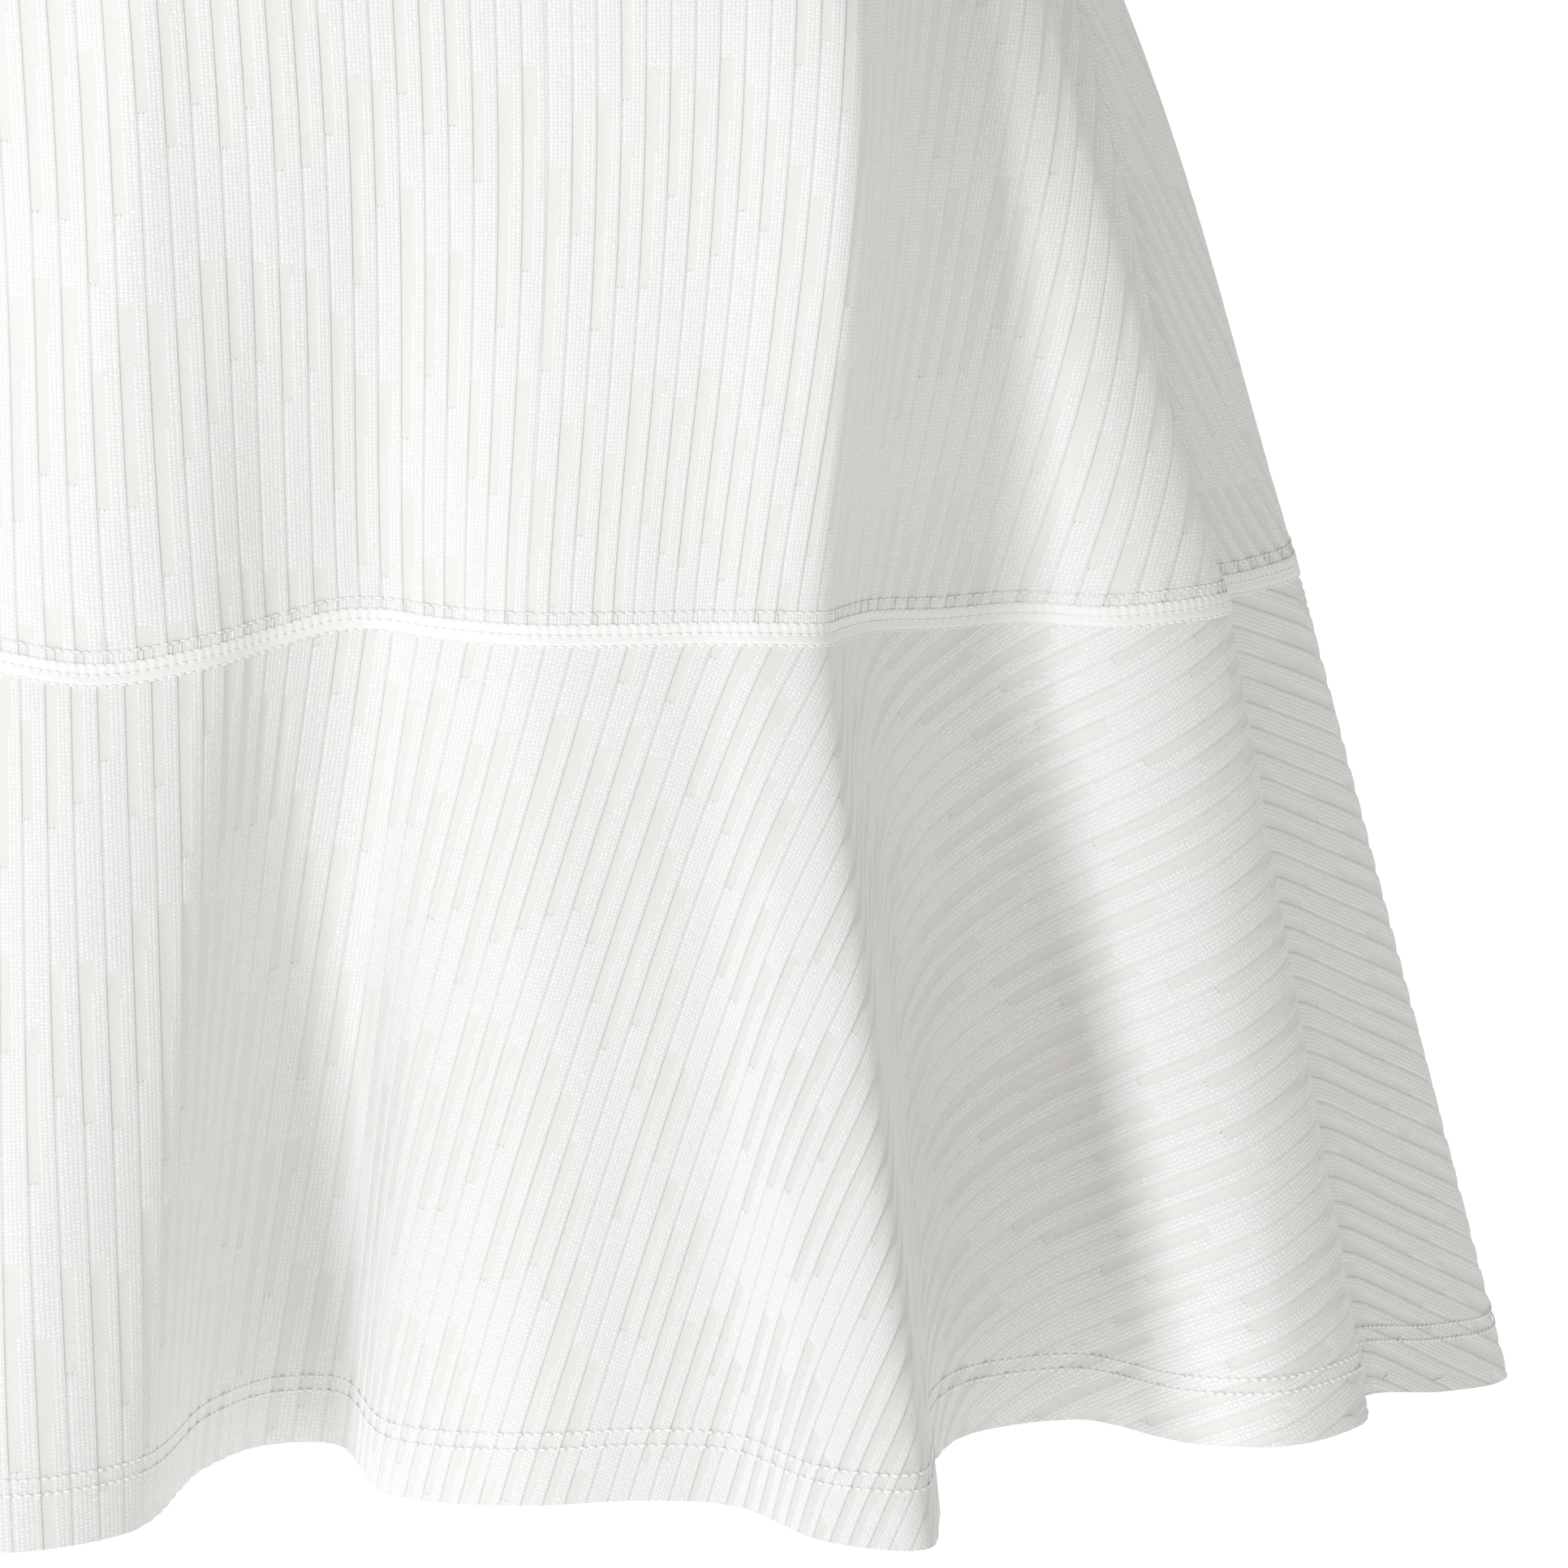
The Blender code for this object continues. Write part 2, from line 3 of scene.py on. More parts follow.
import bpy
import numpy as np
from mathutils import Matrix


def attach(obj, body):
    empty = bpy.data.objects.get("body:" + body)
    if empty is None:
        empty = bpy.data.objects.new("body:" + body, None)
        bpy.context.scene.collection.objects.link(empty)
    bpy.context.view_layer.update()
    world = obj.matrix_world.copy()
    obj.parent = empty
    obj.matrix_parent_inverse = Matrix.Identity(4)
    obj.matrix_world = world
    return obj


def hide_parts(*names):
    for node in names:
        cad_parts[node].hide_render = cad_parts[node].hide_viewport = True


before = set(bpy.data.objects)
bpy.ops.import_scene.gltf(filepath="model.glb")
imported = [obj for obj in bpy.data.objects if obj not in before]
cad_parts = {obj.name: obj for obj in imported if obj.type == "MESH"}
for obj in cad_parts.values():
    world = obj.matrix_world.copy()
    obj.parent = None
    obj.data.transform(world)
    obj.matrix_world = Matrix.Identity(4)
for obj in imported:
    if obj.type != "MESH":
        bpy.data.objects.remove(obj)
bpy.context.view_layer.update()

# ---------------------------------------------------------------------------------------
# Front panel
# One layer of white double knit from the shoulders to the seam below the hip, cut with its
# ribs upright and shaped at the side seams alone. It hangs from the shoulders, and the folds
# of the whole skirt begin in it, so the hang of all the cloth is worked out here.
# ---------------------------------------------------------------------------------------
MM = 0.001

SEAM_DEPTH = 730 * MM             # along the cloth, from the shoulder line to the flounce
SEAM_LEVEL = -684 * MM
HIP_DEPTH = 595 * MM
HIP_LEVEL = -550 * MM
HEM_LEVEL = -867 * MM
FLOUNCE_LENGTH = 188 * MM

# Body rings above the hip: depth along the cloth, level, half width, front and back (mm)
TORSO = (
    # depth  level  half width  front  back
    (0,        0,      170,       0,     0),
    (20,      -5,      168,      19,    19),
    (50,     -25,      166,      41,    42),
    (90,     -58,      165,      63,    70),
    (140,   -104,      166,      85,    92),
    (200,   -161,      169,     103,   105),
    (280,   -239,      172,     117,   108),
    (345,   -303,      169,     113,   101),
    (445,   -402,      161,     104,    91),
    (515,   -471,      178,     104,    95),
)

# Folds on the +X side, from the centre front (turn 0) past the side seam (turn 1) to the
# centre back (turn 2): the place at the hip, seam and hem, and the drop below the level
FOLDS = (
    # name  turn  hip x    y  seam x    y  drop  hem x    y  drop (mm)
    ("A1", 0.00,     0, -110,   -10, -131,   5,   -34, -191,  -1),
    ("A2", 0.06,    12, -108,    12, -126,   3,    -6, -179,  -1),
    ("B1", 0.12,    26, -106,    29, -114,   1,    11, -127,   1),
    ("B2", 0.17,    37, -104,    41, -109,  -1,    25, -107,   2),
    ("B3", 0.22,    49, -103,    51, -108,  -1,    39, -107,   2),
    ("C1", 0.28,    64, -102,    63, -112,   0,    50, -144,   2),
    ("C2", 0.36,    84, -101,    82, -120,   0,    78, -167,  -2),
    ("C3", 0.44,   104, -101,   103, -121,   0,   105, -168,  -3),
    ("D1", 0.52,   124, -101,   120, -120,   0,   124, -170,  -2),
    ("D2", 0.59,   141, -101,   133, -121,   0,   142, -186,   1),
    ("D3", 0.66,   153,  -99,   145, -118,   1,   163, -190,   2),
    ("E1", 0.72,   160,  -85,   151, -100,   4,   168, -166,   3),
    ("E2", 0.77,   165,  -71,   159,  -81,   7,   171, -112,   6),
    ("E3", 0.81,   171,  -60,   174,  -67,  10,   183,  -82,   9),
    ("E4", 0.85,   180,  -53,   193,  -62,  10,   205,  -75,   9),
    ("F1", 0.89,   188,  -53,   211,  -67,  10,   228, -104,   6),
    ("F2", 0.93,   195,  -49,   227,  -62,  10,   249, -110,   5),
    ("F3", 0.97,   200,  -43,   239,  -49,  11,   268,  -91,   5),
    ("F4", 0.985,  194,  -28,   234,  -37,  12,   263,  -76,   7),
    ("S1", 1.00,   207,  -13,   238,  -27,  13,   273,  -55,  10),
    ("G1", 1.05,   212,    0,   248,  -11,  15,   292,  -28,  18),
    ("G2", 1.12,   217,   17,   259,    8,  16,   309,    0,  23),
    ("G3", 1.20,   215,   37,   257,   28,  16,   301,   34,  21),
    ("H1", 1.28,   206,   53,   246,   43,  15,   264,   50,  17),
    ("H2", 1.36,   192,   67,   234,   58,  14,   246,   72,  14),
    ("I1", 1.44,   173,   77,   221,   75,  12,   250,  116,  10),
    ("I2", 1.52,   154,   84,   202,   88,  10,   230,  136,   8),
    ("J1", 1.60,   134,   89,   179,   90,   8,   197,  108,   8),
    ("J2", 1.68,   113,   92,   156,   93,   6,   169,  108,   6),
    ("K1", 1.76,    91,   93,   132,  103,   4,   145,  156,   2),
    ("K2", 1.84,    68,   94,   103,  106,   3,   112,  164,   1),
    ("L1", 1.90,    46,   94,    74,   98,   2,    84,  116,   3),
    ("L2", 1.95,    24,   94,    48,   98,   2,    56,  116,   3),
    ("M1", 1.98,     8,   94,    22,  105,   1,    26,  158,  -1),
    ("N1", 2.00,     0,   94,     0,  107,   1,     0,  162,  -1),
)
FOLD_COLUMNS = ("hip_x", "hip_y", "seam_x", "seam_y", "seam_drop", "hem_x", "hem_y", "hem_drop")
HIP_DROPS = ((0, 0), (0.6, 0), (1, 14), (1.3, 18), (2, 4))    # turn and drop at the hip (mm)
CENTRE_REACH = 0.6                # how far round the slant of the centre fold is felt
SWAY = 7                          # how far the hem on the -X side strays from a mirror image (mm)
SWAY_ACROSS = 7                   # how fast it strays to and fro, in radians for each turn
SWAY_AWAY = 11
BODY_SQUARENESS = 0.85            # 1 is an ellipse, less is squarer
NECK_HALF_WIDTH = 85 * MM
SHOULDER_SLOPE = 0.42             # fall of the shoulder line over its length
SHOULDER_ROUNDING = 40 * MM       # width over which the slope turns level at the neck
SLOPE_FADE = 60 * MM              # depth over which the shoulder's slope dies away

# Soft creases between the folds, + on the wearer's left: where each starts and ends, by turn
# and depth along the cloth, its half width, and its height (a trough is negative)
CREASES = (
    # turn  depth   turn  depth  half width  height (mm)
    (0.15,   560,   0.19,   735,     16,      1.6),
    (0.23,   600,   0.21,   760,     12,     -1.4),
    (0.60,   380,   0.64,   760,     14,      1.4),
    (0.84,   560,   0.80,   740,      9,      0.9),
)

CREASE_FADE = 1.5                 # more than 1 keeps a crease low near its ends
STEPS = 24                        # points of a ring in each span between two folds
QUARTER_POINTS = 721              # points that measure a quarter of a body ring
PANEL_RINGS, FLOUNCE_RINGS = 147, 38      # rings worked out down the panels and the flounces
SHEET_COLUMNS = 1601


def hermite(start, leave, arrive, end, t):
    """Cubic between start and end with the given slopes, at the fraction t."""
    return (start * (2 * t**3 - 3 * t**2 + 1) + leave * (t**3 - 2 * t**2 + t)
            + end * (3 * t**2 - 2 * t**3) + arrive * (t**3 - t**2))


def smooth_loop(points):
    """A closed smooth curve through the points, with STEPS points in each span."""
    before, start, end, after = (np.roll(points, shift, axis=0) for shift in (1, 0, -1, -2))
    spans = ((before, start), (start, end), (end, after))
    last, this, following = (np.sqrt(np.linalg.norm(b - a, axis=1))[:, None] for a, b in spans)
    leave = this * ((start - before) / last - (end - before) / (last + this)
                    + (end - start) / this)
    arrive = this * ((end - start) / this - (after - start) / (this + following)
                     + (after - end) / following)
    parts = [hermite(start, leave, arrive, end, step / STEPS) for step in range(STEPS)]
    return np.stack(parts, axis=1).reshape(-1, points.shape[1])


def loop_folds():
    """Turn, side and places of every fold, from the -X side seam round by the front."""
    rows = [dict(zip(FOLD_COLUMNS, row[2:]), turn=row[1], side=1.0) for row in FOLDS]
    centre = rows[0]
    mirrored = []
    for row in rows[1:-1]:
        other = dict(row, side=-1.0)
        felt = 2 * math.exp(-row["turn"] / CENTRE_REACH)
        for column in ("hip_x", "seam_x", "hem_x"):
            other[column] = felt * centre[column] - row[column]
        other["hem_x"] += SWAY * math.sin(SWAY_ACROSS * row["turn"])
        other["hem_y"] += SWAY * math.sin(SWAY_AWAY * row["turn"])
        mirrored.append(other)
    front = [row for row in mirrored if row["turn"] <= 1]
    back = [row for row in mirrored if row["turn"] > 1]
    return front[::-1] + rows + back[::-1]


def fold_ring(folds, place, level, drops):
    """A smooth ring through the folds at one level."""
    points = [(fold[place + "_x"] * MM, fold[place + "_y"] * MM, level - drop * MM)
              for fold, drop in zip(folds, drops)]
    return smooth_loop(np.array(points))


def torso_ring(turns, sides, row):
    """A superellipse ring of the body, with its points spaced by turn along each quarter."""
    depth, level, half_width, front, back = (value * MM for value in row)
    angles = np.linspace(0, math.pi / 2, QUARTER_POINTS)
    ring = np.empty((len(turns), 3))
    for reach, sign in ((front, -1), (back, 1)):
        across = half_width * np.sin(angles) ** BODY_SQUARENESS
        away = reach * np.cos(angles) ** BODY_SQUARENESS
        arc = np.r_[0, np.cumsum(np.hypot(np.diff(across), np.diff(away)))]
        chosen = turns <= 1 if sign < 0 else turns > 1
        fraction = turns[chosen] if sign < 0 else 2 - turns[chosen]
        ring[chosen, 0] = sides[chosen] * np.interp(fraction, arc / arc[-1], across)
        ring[chosen, 1] = sign * np.interp(fraction, arc / arc[-1], away)
    fall = (np.hypot(ring[:, 0], SHOULDER_ROUNDING)
            - math.hypot(NECK_HALF_WIDTH, SHOULDER_ROUNDING))
    ring[:, 2] = level - SHOULDER_SLOPE * fall * math.exp(-depth / SLOPE_FADE)
    return ring


def between_rings(depths, rings, wanted):
    """Rings at the wanted depths, on smooth lines through the given rings."""
    slopes = np.gradient(rings, depths, axis=0)
    result = []
    for depth in wanted:
        i = min(np.searchsorted(depths, depth, side="right") - 1, len(depths) - 2)
        span = depths[i + 1] - depths[i]
        t = (depth - depths[i]) / span
        result.append(hermite(rings[i], slopes[i] * span, slopes[i + 1] * span, rings[i + 1], t))
    return np.array(result)


def ring_normals(grid):
    """Outward directions on a grid of closed rings that are listed downwards."""
    around = np.roll(grid, -1, axis=1) - np.roll(grid, 1, axis=1)
    down = np.gradient(grid, axis=0)
    normals = np.cross(down, around)
    normals[0, :, 1] = 0                          # front and back share the shoulder line
    return normals / np.linalg.norm(normals, axis=2, keepdims=True)


def creased(grid, normals, depths, places):
    """The grid with the soft creases pressed into it. places runs from -1 to 3 round a ring."""
    steps = np.linalg.norm(np.roll(grid, -1, axis=1) - grid, axis=2)
    arcs = np.cumsum(steps, axis=1) - steps
    moved = grid.copy()
    for turn, top, end_turn, bottom, half_width, height in CREASES:
        along = (depths / MM - top) / (bottom - top)
        for row in np.nonzero((along > 0) & (along < 1))[0]:
            centre = turn + (end_turn - turn) * along[row]
            away = arcs[row] - np.interp(centre, places, arcs[row])
            lift = height * MM * math.sin(math.pi * along[row]) ** CREASE_FADE
            moved[row] += normals[row] * (lift * np.exp(-(away / (half_width * MM)) ** 2))[:, None]
    return moved


class Sheet:
    """The cloth of one side as it hangs: u runs from -1 to 1 across, and depth down it."""

    def __init__(self, depths, grid, normals, first, centre, last):
        chosen = np.arange(first, last + 1) % grid.shape[1]
        middle = centre - first
        u = np.linspace(-1, 1, SHEET_COLUMNS)
        self.depths = depths
        self.points = np.empty((len(depths), SHEET_COLUMNS, 3))
        self.outward = np.empty((len(depths), SHEET_COLUMNS, 3))
        half_widths = []
        for row in range(len(depths)):
            line = grid[row, chosen]
            arc = np.r_[0, np.cumsum(np.linalg.norm(np.diff(line, axis=0), axis=1))]
            half_widths.append(arc[-1] / 2)
            below = arc / arc[middle] - 1
            above = (arc - arc[middle]) / (arc[-1] - arc[middle])
            share = np.where(below < 0, below, above)
            for axis in range(3):
                self.points[row, :, axis] = np.interp(u, share, line[:, axis])
                self.outward[row, :, axis] = np.interp(u, share, normals[row, chosen, axis])
        self.half_widths = np.array(half_widths)

    def half_width(self, depth):
        """Length of cloth from the centre to a side seam."""
        return np.interp(depth, self.depths, self.half_widths)

    def at(self, u, depth, lift=0.0):
        """Points of the sheet, and the outward directions there, lifted off it by lift."""
        u, depth, lift = np.broadcast_arrays(u, depth, lift)
        column = (np.clip(u, -1, 1) + 1) / 2 * (SHEET_COLUMNS - 1)
        row = np.interp(depth, self.depths, np.arange(len(self.depths)))
        i = np.minimum(row.astype(int), len(self.depths) - 2)
        j = np.minimum(column.astype(int), SHEET_COLUMNS - 2)
        down, across = (row - i)[..., None], (column - j)[..., None]
        found = [(field[i, j] * (1 - across) + field[i, j + 1] * across) * (1 - down)
                 + (field[i + 1, j] * (1 - across) + field[i + 1, j + 1] * across) * down
                 for field in (self.points, self.outward)]
        outward = found[1] / np.linalg.norm(found[1], axis=-1, keepdims=True)
        return found[0] + outward * lift[..., None], outward


def hang():
    """The sheets of the front and the back, each from the shoulders to the hem."""
    folds = loop_folds()
    turns = np.array([fold["turn"] for fold in folds])
    next_turns = np.roll(turns, -1)
    turns = (turns[:, None] + (next_turns - turns)[:, None] * np.arange(STEPS) / STEPS).ravel()
    centre_front, centre_back = (
        STEPS * next(i for i, fold in enumerate(folds) if fold["turn"] == turn) for turn in (0, 2))
    left, right = (i * STEPS for i, fold in enumerate(folds) if fold["turn"] == 1)
    count = len(turns)
    sides = np.where(np.arange(count) < centre_front, -1.0, 1.0)
    sides[centre_back:] = -1.0
    places = np.where(np.arange(count) > centre_back, 4 - turns, sides * turns)

    hip_drops = np.interp([fold["turn"] for fold in folds], *zip(*HIP_DROPS))
    hip = fold_ring(folds, "hip", HIP_LEVEL, hip_drops)
    seam = fold_ring(folds, "seam", SEAM_LEVEL, [fold["seam_drop"] for fold in folds])
    hem = fold_ring(folds, "hem", HEM_LEVEL, [fold["hem_drop"] for fold in folds])
    torso = [torso_ring(turns, sides, row) for row in TORSO]
    ring_depths = np.array([row[0] * MM for row in TORSO] + [HIP_DEPTH, SEAM_DEPTH])

    panel_depths = np.linspace(0, SEAM_DEPTH, PANEL_RINGS)
    panel = between_rings(ring_depths, np.array(torso + [hip, seam]), panel_depths)
    fractions = np.linspace(0, 1, FLOUNCE_RINGS + 1)[1:]
    flounce = seam + (hem - seam) * fractions[:, None, None]
    depths = np.r_[panel_depths, SEAM_DEPTH + FLOUNCE_LENGTH * fractions]
    grid = np.concatenate([panel, flounce])
    grid = creased(grid, ring_normals(grid), depths, places)
    normals = ring_normals(grid)
    return (Sheet(depths, grid, normals, left, centre_front, right),
            Sheet(depths, grid, normals, right, centre_back, left + count))


front, back = hang()

# Low on the front panel the ribs swing past the folds, + to the wearer's left: how far at the
# seam, by the share of the way from the centre to a side seam
SWING = ((-1, 0), (-0.4, 0), (-0.12, 16), (0, 22), (0.1, 23), (0.2, 17), (0.33, 9), (0.45, -1),
         (0.56, -9), (0.7, -17), (0.82, -19), (0.9, -15), (1, 0))       # share and distance (mm)
SWING_DEPTH = 520 * MM            # down the panel, where the swing begins
SWING_GAIN = 1.5                  # it grows faster and faster

# The knit: ribs, each a low step on its left that opens into a sunken strip of fine twill
# and closes again, in blocks that drift from rib to rib
RIB = 5.7 * MM
RIB_POINTS = (0.02, 0.27, 0.38, 0.56, 0.67, 0.97)      # across a rib, from the foot of its step
BLOCK = 66 * MM                   # down the cloth, from one sunken strip to the next
CLUSTER = 3                       # ribs whose strips begin at about the same height
CLUSTER_CLIMB = -0.23             # of a block, from one such cluster to the next
BLOCK_WANDER = 0.07               # of a block, from rib to rib
WANDER_TURN = 2.4                 # radians, from one rib to the next
BLOCK_DRIFT = 0.38                # a slower wander, that bends the lines of strips
DRIFT_TURN = 0.34
CHANCE_TURN = 1.9                 # radians, from one block to the next
CHANCE_SCALE = 61.7               # large enough that no two strips are alike
OPEN_SHARE, OPEN_SPREAD = 0.30, 0.56                    # of a block that is sunken
WIDE_SHARE, WIDE_SPREAD = -0.10, 0.50                   # and of its wider top
CLOSED_WIDTH, OPEN_WIDTH, WIDE_WIDTH = 0.27, 0.44, 0.60     # of a rib
STRIP_EDGE = 0.11                 # of a rib, over which a strip's far side rises
CLOSED_DEPTH, OPEN_DEPTH = 0.22 * MM, 0.32 * MM         # of the step alone, and of a strip
STEP_SHARPNESS = math.radians(28)     # edges that turn more than this stay crisp
KNIT_THICKNESS = 1.3 * MM
WELD_REACH = 0.01 * MM            # points closer than this become one
PANEL_ROWS = 132
EDGE_POINTS = 181
ARMHOLE_DEPTH = 280 * MM
SHOULDER_HALF_WIDTH = 150 * MM
ARMHOLE_SQUARENESS = 0.7
NECK_SQUARENESS = 0.9
FRONT_NECK_DEPTH = 112 * MM
FRONT_SCOOP = 12 * MM             # how far the armhole is hollowed
PRESSED = 0.25                    # of the ribs' depth is left where a flatlock presses them
SIDE_SEAM_DIP = 1.1 * MM
SIDE_SEAM_WIDTH = 1.4 * MM


def rib_relief(across, down):
    """Depth of the ribs' steps and sunken strips at places of the flat cloth."""
    rib = np.floor(across / RIB)
    place = across / RIB - rib
    block = (down / BLOCK + CLUSTER_CLIMB * np.floor(rib / CLUSTER)
             + BLOCK_WANDER * np.sin(WANDER_TURN * rib) + BLOCK_DRIFT * np.sin(DRIFT_TURN * rib))
    phase = block % 1
    chance = CHANCE_SCALE * np.sin(WANDER_TURN * rib + CHANCE_TURN * np.floor(block)) % 1
    is_open = phase < OPEN_SHARE + OPEN_SPREAD * chance
    wide = phase < WIDE_SHARE + WIDE_SPREAD * chance
    strip = (np.where(wide, WIDE_WIDTH, OPEN_WIDTH) - place) / STRIP_EDGE
    closed = (CLOSED_WIDTH - place) / (CLOSED_WIDTH - RIB_POINTS[0])
    return -np.where(is_open, OPEN_DEPTH * np.clip(strip, 0, 1),
                     CLOSED_DEPTH * np.clip(closed, 0, 1))


def rib_columns(reach):
    """Places across the flat cloth where the ribs have their points."""
    count = int(reach / RIB) + 2
    ribs = np.arange(-count, count)[:, None] + np.array(RIB_POINTS)
    return np.r_[ribs.ravel() * RIB, (count + RIB_POINTS[0]) * RIB]


def side_seam(sheet, u, depth):
    """How far the cloth dips where it turns in at a side seam."""
    away = (1 - np.abs(u)) * sheet.half_width(depth)
    return -SIDE_SEAM_DIP * np.exp(-(away / SIDE_SEAM_WIDTH) ** 2)


def meet_corners(columns, corners):
    """Move the nearest column onto each corner of the cut."""
    for corner in corners:
        columns[np.abs(columns - corner).argmin()] = corner


def cells(grid):
    """The four corners of every cell in a grid of point numbers."""
    corners = [grid[:-1, :-1], grid[1:, :-1], grid[1:, 1:], grid[:-1, 1:]]
    return np.stack(corners, -1).reshape(-1, 4)


def wall_mesh(name, outer, outer_cut, inner, inner_cut):
    """A closed wall of an outer lattice, an inner one with a column for each rib, and a rim."""
    rows, columns = outer.shape[:2]
    group = len(RIB_POINTS)
    start = rows * columns
    at = np.arange(start).reshape(rows, columns)
    under = start + np.arange(inner.shape[0] * inner.shape[1]).reshape(inner.shape[:2])
    faces = cells(at).tolist()
    outside = len(faces)
    faces += cells(under)[:, ::-1].tolist()
    for row, turned in ((0, 1), (rows - 1, -1)):
        for k in range(inner.shape[1] - 1):
            edge = at[row, k * group:(k + 1) * group + 1].tolist()
            faces.append((edge + [under[row, k + 1], under[row, k]])[::turned])
    for column, turned in ((0, -1), (-1, 1)):
        side = np.stack([at[:-1, column], under[:-1, column],
                         under[1:, column], at[1:, column]], -1)
        faces += side[:, ::turned].tolist()

    points = np.concatenate([outer.reshape(-1, 3), inner.reshape(-1, 3)])
    cut = np.concatenate([outer_cut.reshape(-1, 2), inner_cut.reshape(-1, 2)])
    _, kept, index = np.unique(np.round(points / WELD_REACH), axis=0,
                               return_index=True, return_inverse=True)
    index = index.ravel()
    welded, on_back = [], []
    for number, face in enumerate(faces):
        corners = [c for k, c in enumerate(index[face]) if c != index[face[k - 1]]]
        if len(set(corners)) > 2 and len(set(corners)) == len(corners):
            welded.append(corners)
            on_back.append(number >= outside)
    mesh = bpy.data.meshes.new(name)
    mesh.from_pydata(points[kept].tolist(), [], welded)
    mesh.polygons.foreach_set("material_index", np.array(on_back, dtype=np.int32))
    corners = np.empty(len(mesh.loops), dtype=np.int32)
    mesh.loops.foreach_get("vertex_index", corners)
    layer = mesh.uv_layers.new(name="cut")
    layer.uv.foreach_set("vector", cut[kept][corners].astype(np.float32).ravel())
    mesh.shade_smooth()
    mesh.set_sharp_from_angle(angle=STEP_SHARPNESS)
    return mesh


def flat_area(cut):
    """Area of the flat cloth that a lattice covers."""
    one, other = cut[1:, 1:] - cut[:-1, :-1], cut[1:, :-1] - cut[:-1, 1:]
    return float(np.abs(one[..., 0] * other[..., 1] - one[..., 1] * other[..., 0]).sum() / 2)


def neck_edge(neck_depth, angles):
    """Half of a neck's edge on the flat cloth, from the shoulder to the centre."""
    return (NECK_HALF_WIDTH * np.cos(angles) ** NECK_SQUARENESS,
            neck_depth * np.sin(angles) ** NECK_SQUARENESS)


def armhole_edge(sheet, scoop, angles):
    """An armhole's edge on the flat cloth, from the shoulder to the underarm."""
    underarm = sheet.half_width(ARMHOLE_DEPTH)
    taper = underarm - SHOULDER_HALF_WIDTH
    return (underarm - taper * np.cos(angles) ** ARMHOLE_SQUARENESS - scoop * np.sin(2 * angles),
            ARMHOLE_DEPTH * np.sin(angles))


def panel_cloth(name, sheet, neck_depth, scoop, swing):
    """A panel's wall and its area, ribs upright, with the neck, armholes and sides cut out."""
    columns = rib_columns(sheet.half_width(SEAM_DEPTH))
    meet_corners(columns, (-NECK_HALF_WIDTH, NECK_HALF_WIDTH))
    angles = np.linspace(0, math.pi / 2, EDGE_POINTS)
    neck_across, neck_down = neck_edge(neck_depth, angles)
    armhole_across, armhole_down = armhole_edge(sheet, scoop, angles)
    top = np.interp(np.abs(columns), neck_across[::-1], neck_down[::-1], right=0)

    fractions = np.linspace(0, 1, PANEL_ROWS + 1)[:, None]
    down = top + (SEAM_DEPTH - top) * fractions
    limit = np.where(down < ARMHOLE_DEPTH, np.interp(down, armhole_down, armhole_across),
                     sheet.half_width(down))
    across = np.clip(columns, -limit, limit)
    u = across / sheet.half_width(down)
    dip = side_seam(sheet, u, down)
    share = np.clip((down - SWING_DEPTH) / (SEAM_DEPTH - SWING_DEPTH), 0, 1)
    u = u + np.interp(u, *zip(*swing)) * MM * share ** SWING_GAIN / sheet.half_width(down)
    pressed = np.where(fractions < 1, 1, PRESSED)
    outer, _ = sheet.at(u, down, rib_relief(across, down) * pressed + dip)
    chosen = np.s_[:, ::len(RIB_POINTS)]
    inner, _ = sheet.at(u[chosen], down[chosen], dip[chosen] - KNIT_THICKNESS)
    cut = np.stack([across, down], -1)
    return wall_mesh(name, outer, cut, inner, cut[chosen]), flat_area(cut)


def linear(colour):
    """An sRGB hex colour as linear RGBA."""
    parts = [int(colour[i:i + 2], 16) / 255 for i in (1, 3, 5)]
    return [p / 12.92 if p <= 0.04045 else ((p + 0.055) / 1.055) ** 2.4 for p in parts] + [1]


def node(tree, kind, inputs=None, **settings):
    """Add a node with its settings; an input is a value, a node's first output or an output."""
    made = tree.nodes.new(kind)
    for name, value in settings.items():
        setattr(made, name, value)
    for socket, value in (inputs or {}).items():
        if isinstance(value, bpy.types.Node):
            value = value.outputs[0]
        if isinstance(value, bpy.types.NodeSocket):
            tree.links.new(value, made.inputs[socket])
        else:
            made.inputs[socket].default_value = value
    return made


def start_material(name, sockets):
    """A new material with its shader's sockets set, and its node tree and shader."""
    material = bpy.data.materials.new(name)
    material.use_nodes = True
    shader = material.node_tree.nodes["Principled BSDF"]
    for socket, value in sockets.items():
        shader.inputs[socket].default_value = value
    return material, material.node_tree, shader


def ridges(tree, place, pitch):
    """Rounded ridges from 0 to 1 high, one in every pitch along the place."""
    turn = node(tree, "ShaderNodeMath", {0: place, 1: math.pi / pitch}, operation="MULTIPLY")
    wave = node(tree, "ShaderNodeMath", {0: turn}, operation="SINE")
    return node(tree, "ShaderNodeMath", {0: wave}, operation="ABSOLUTE")


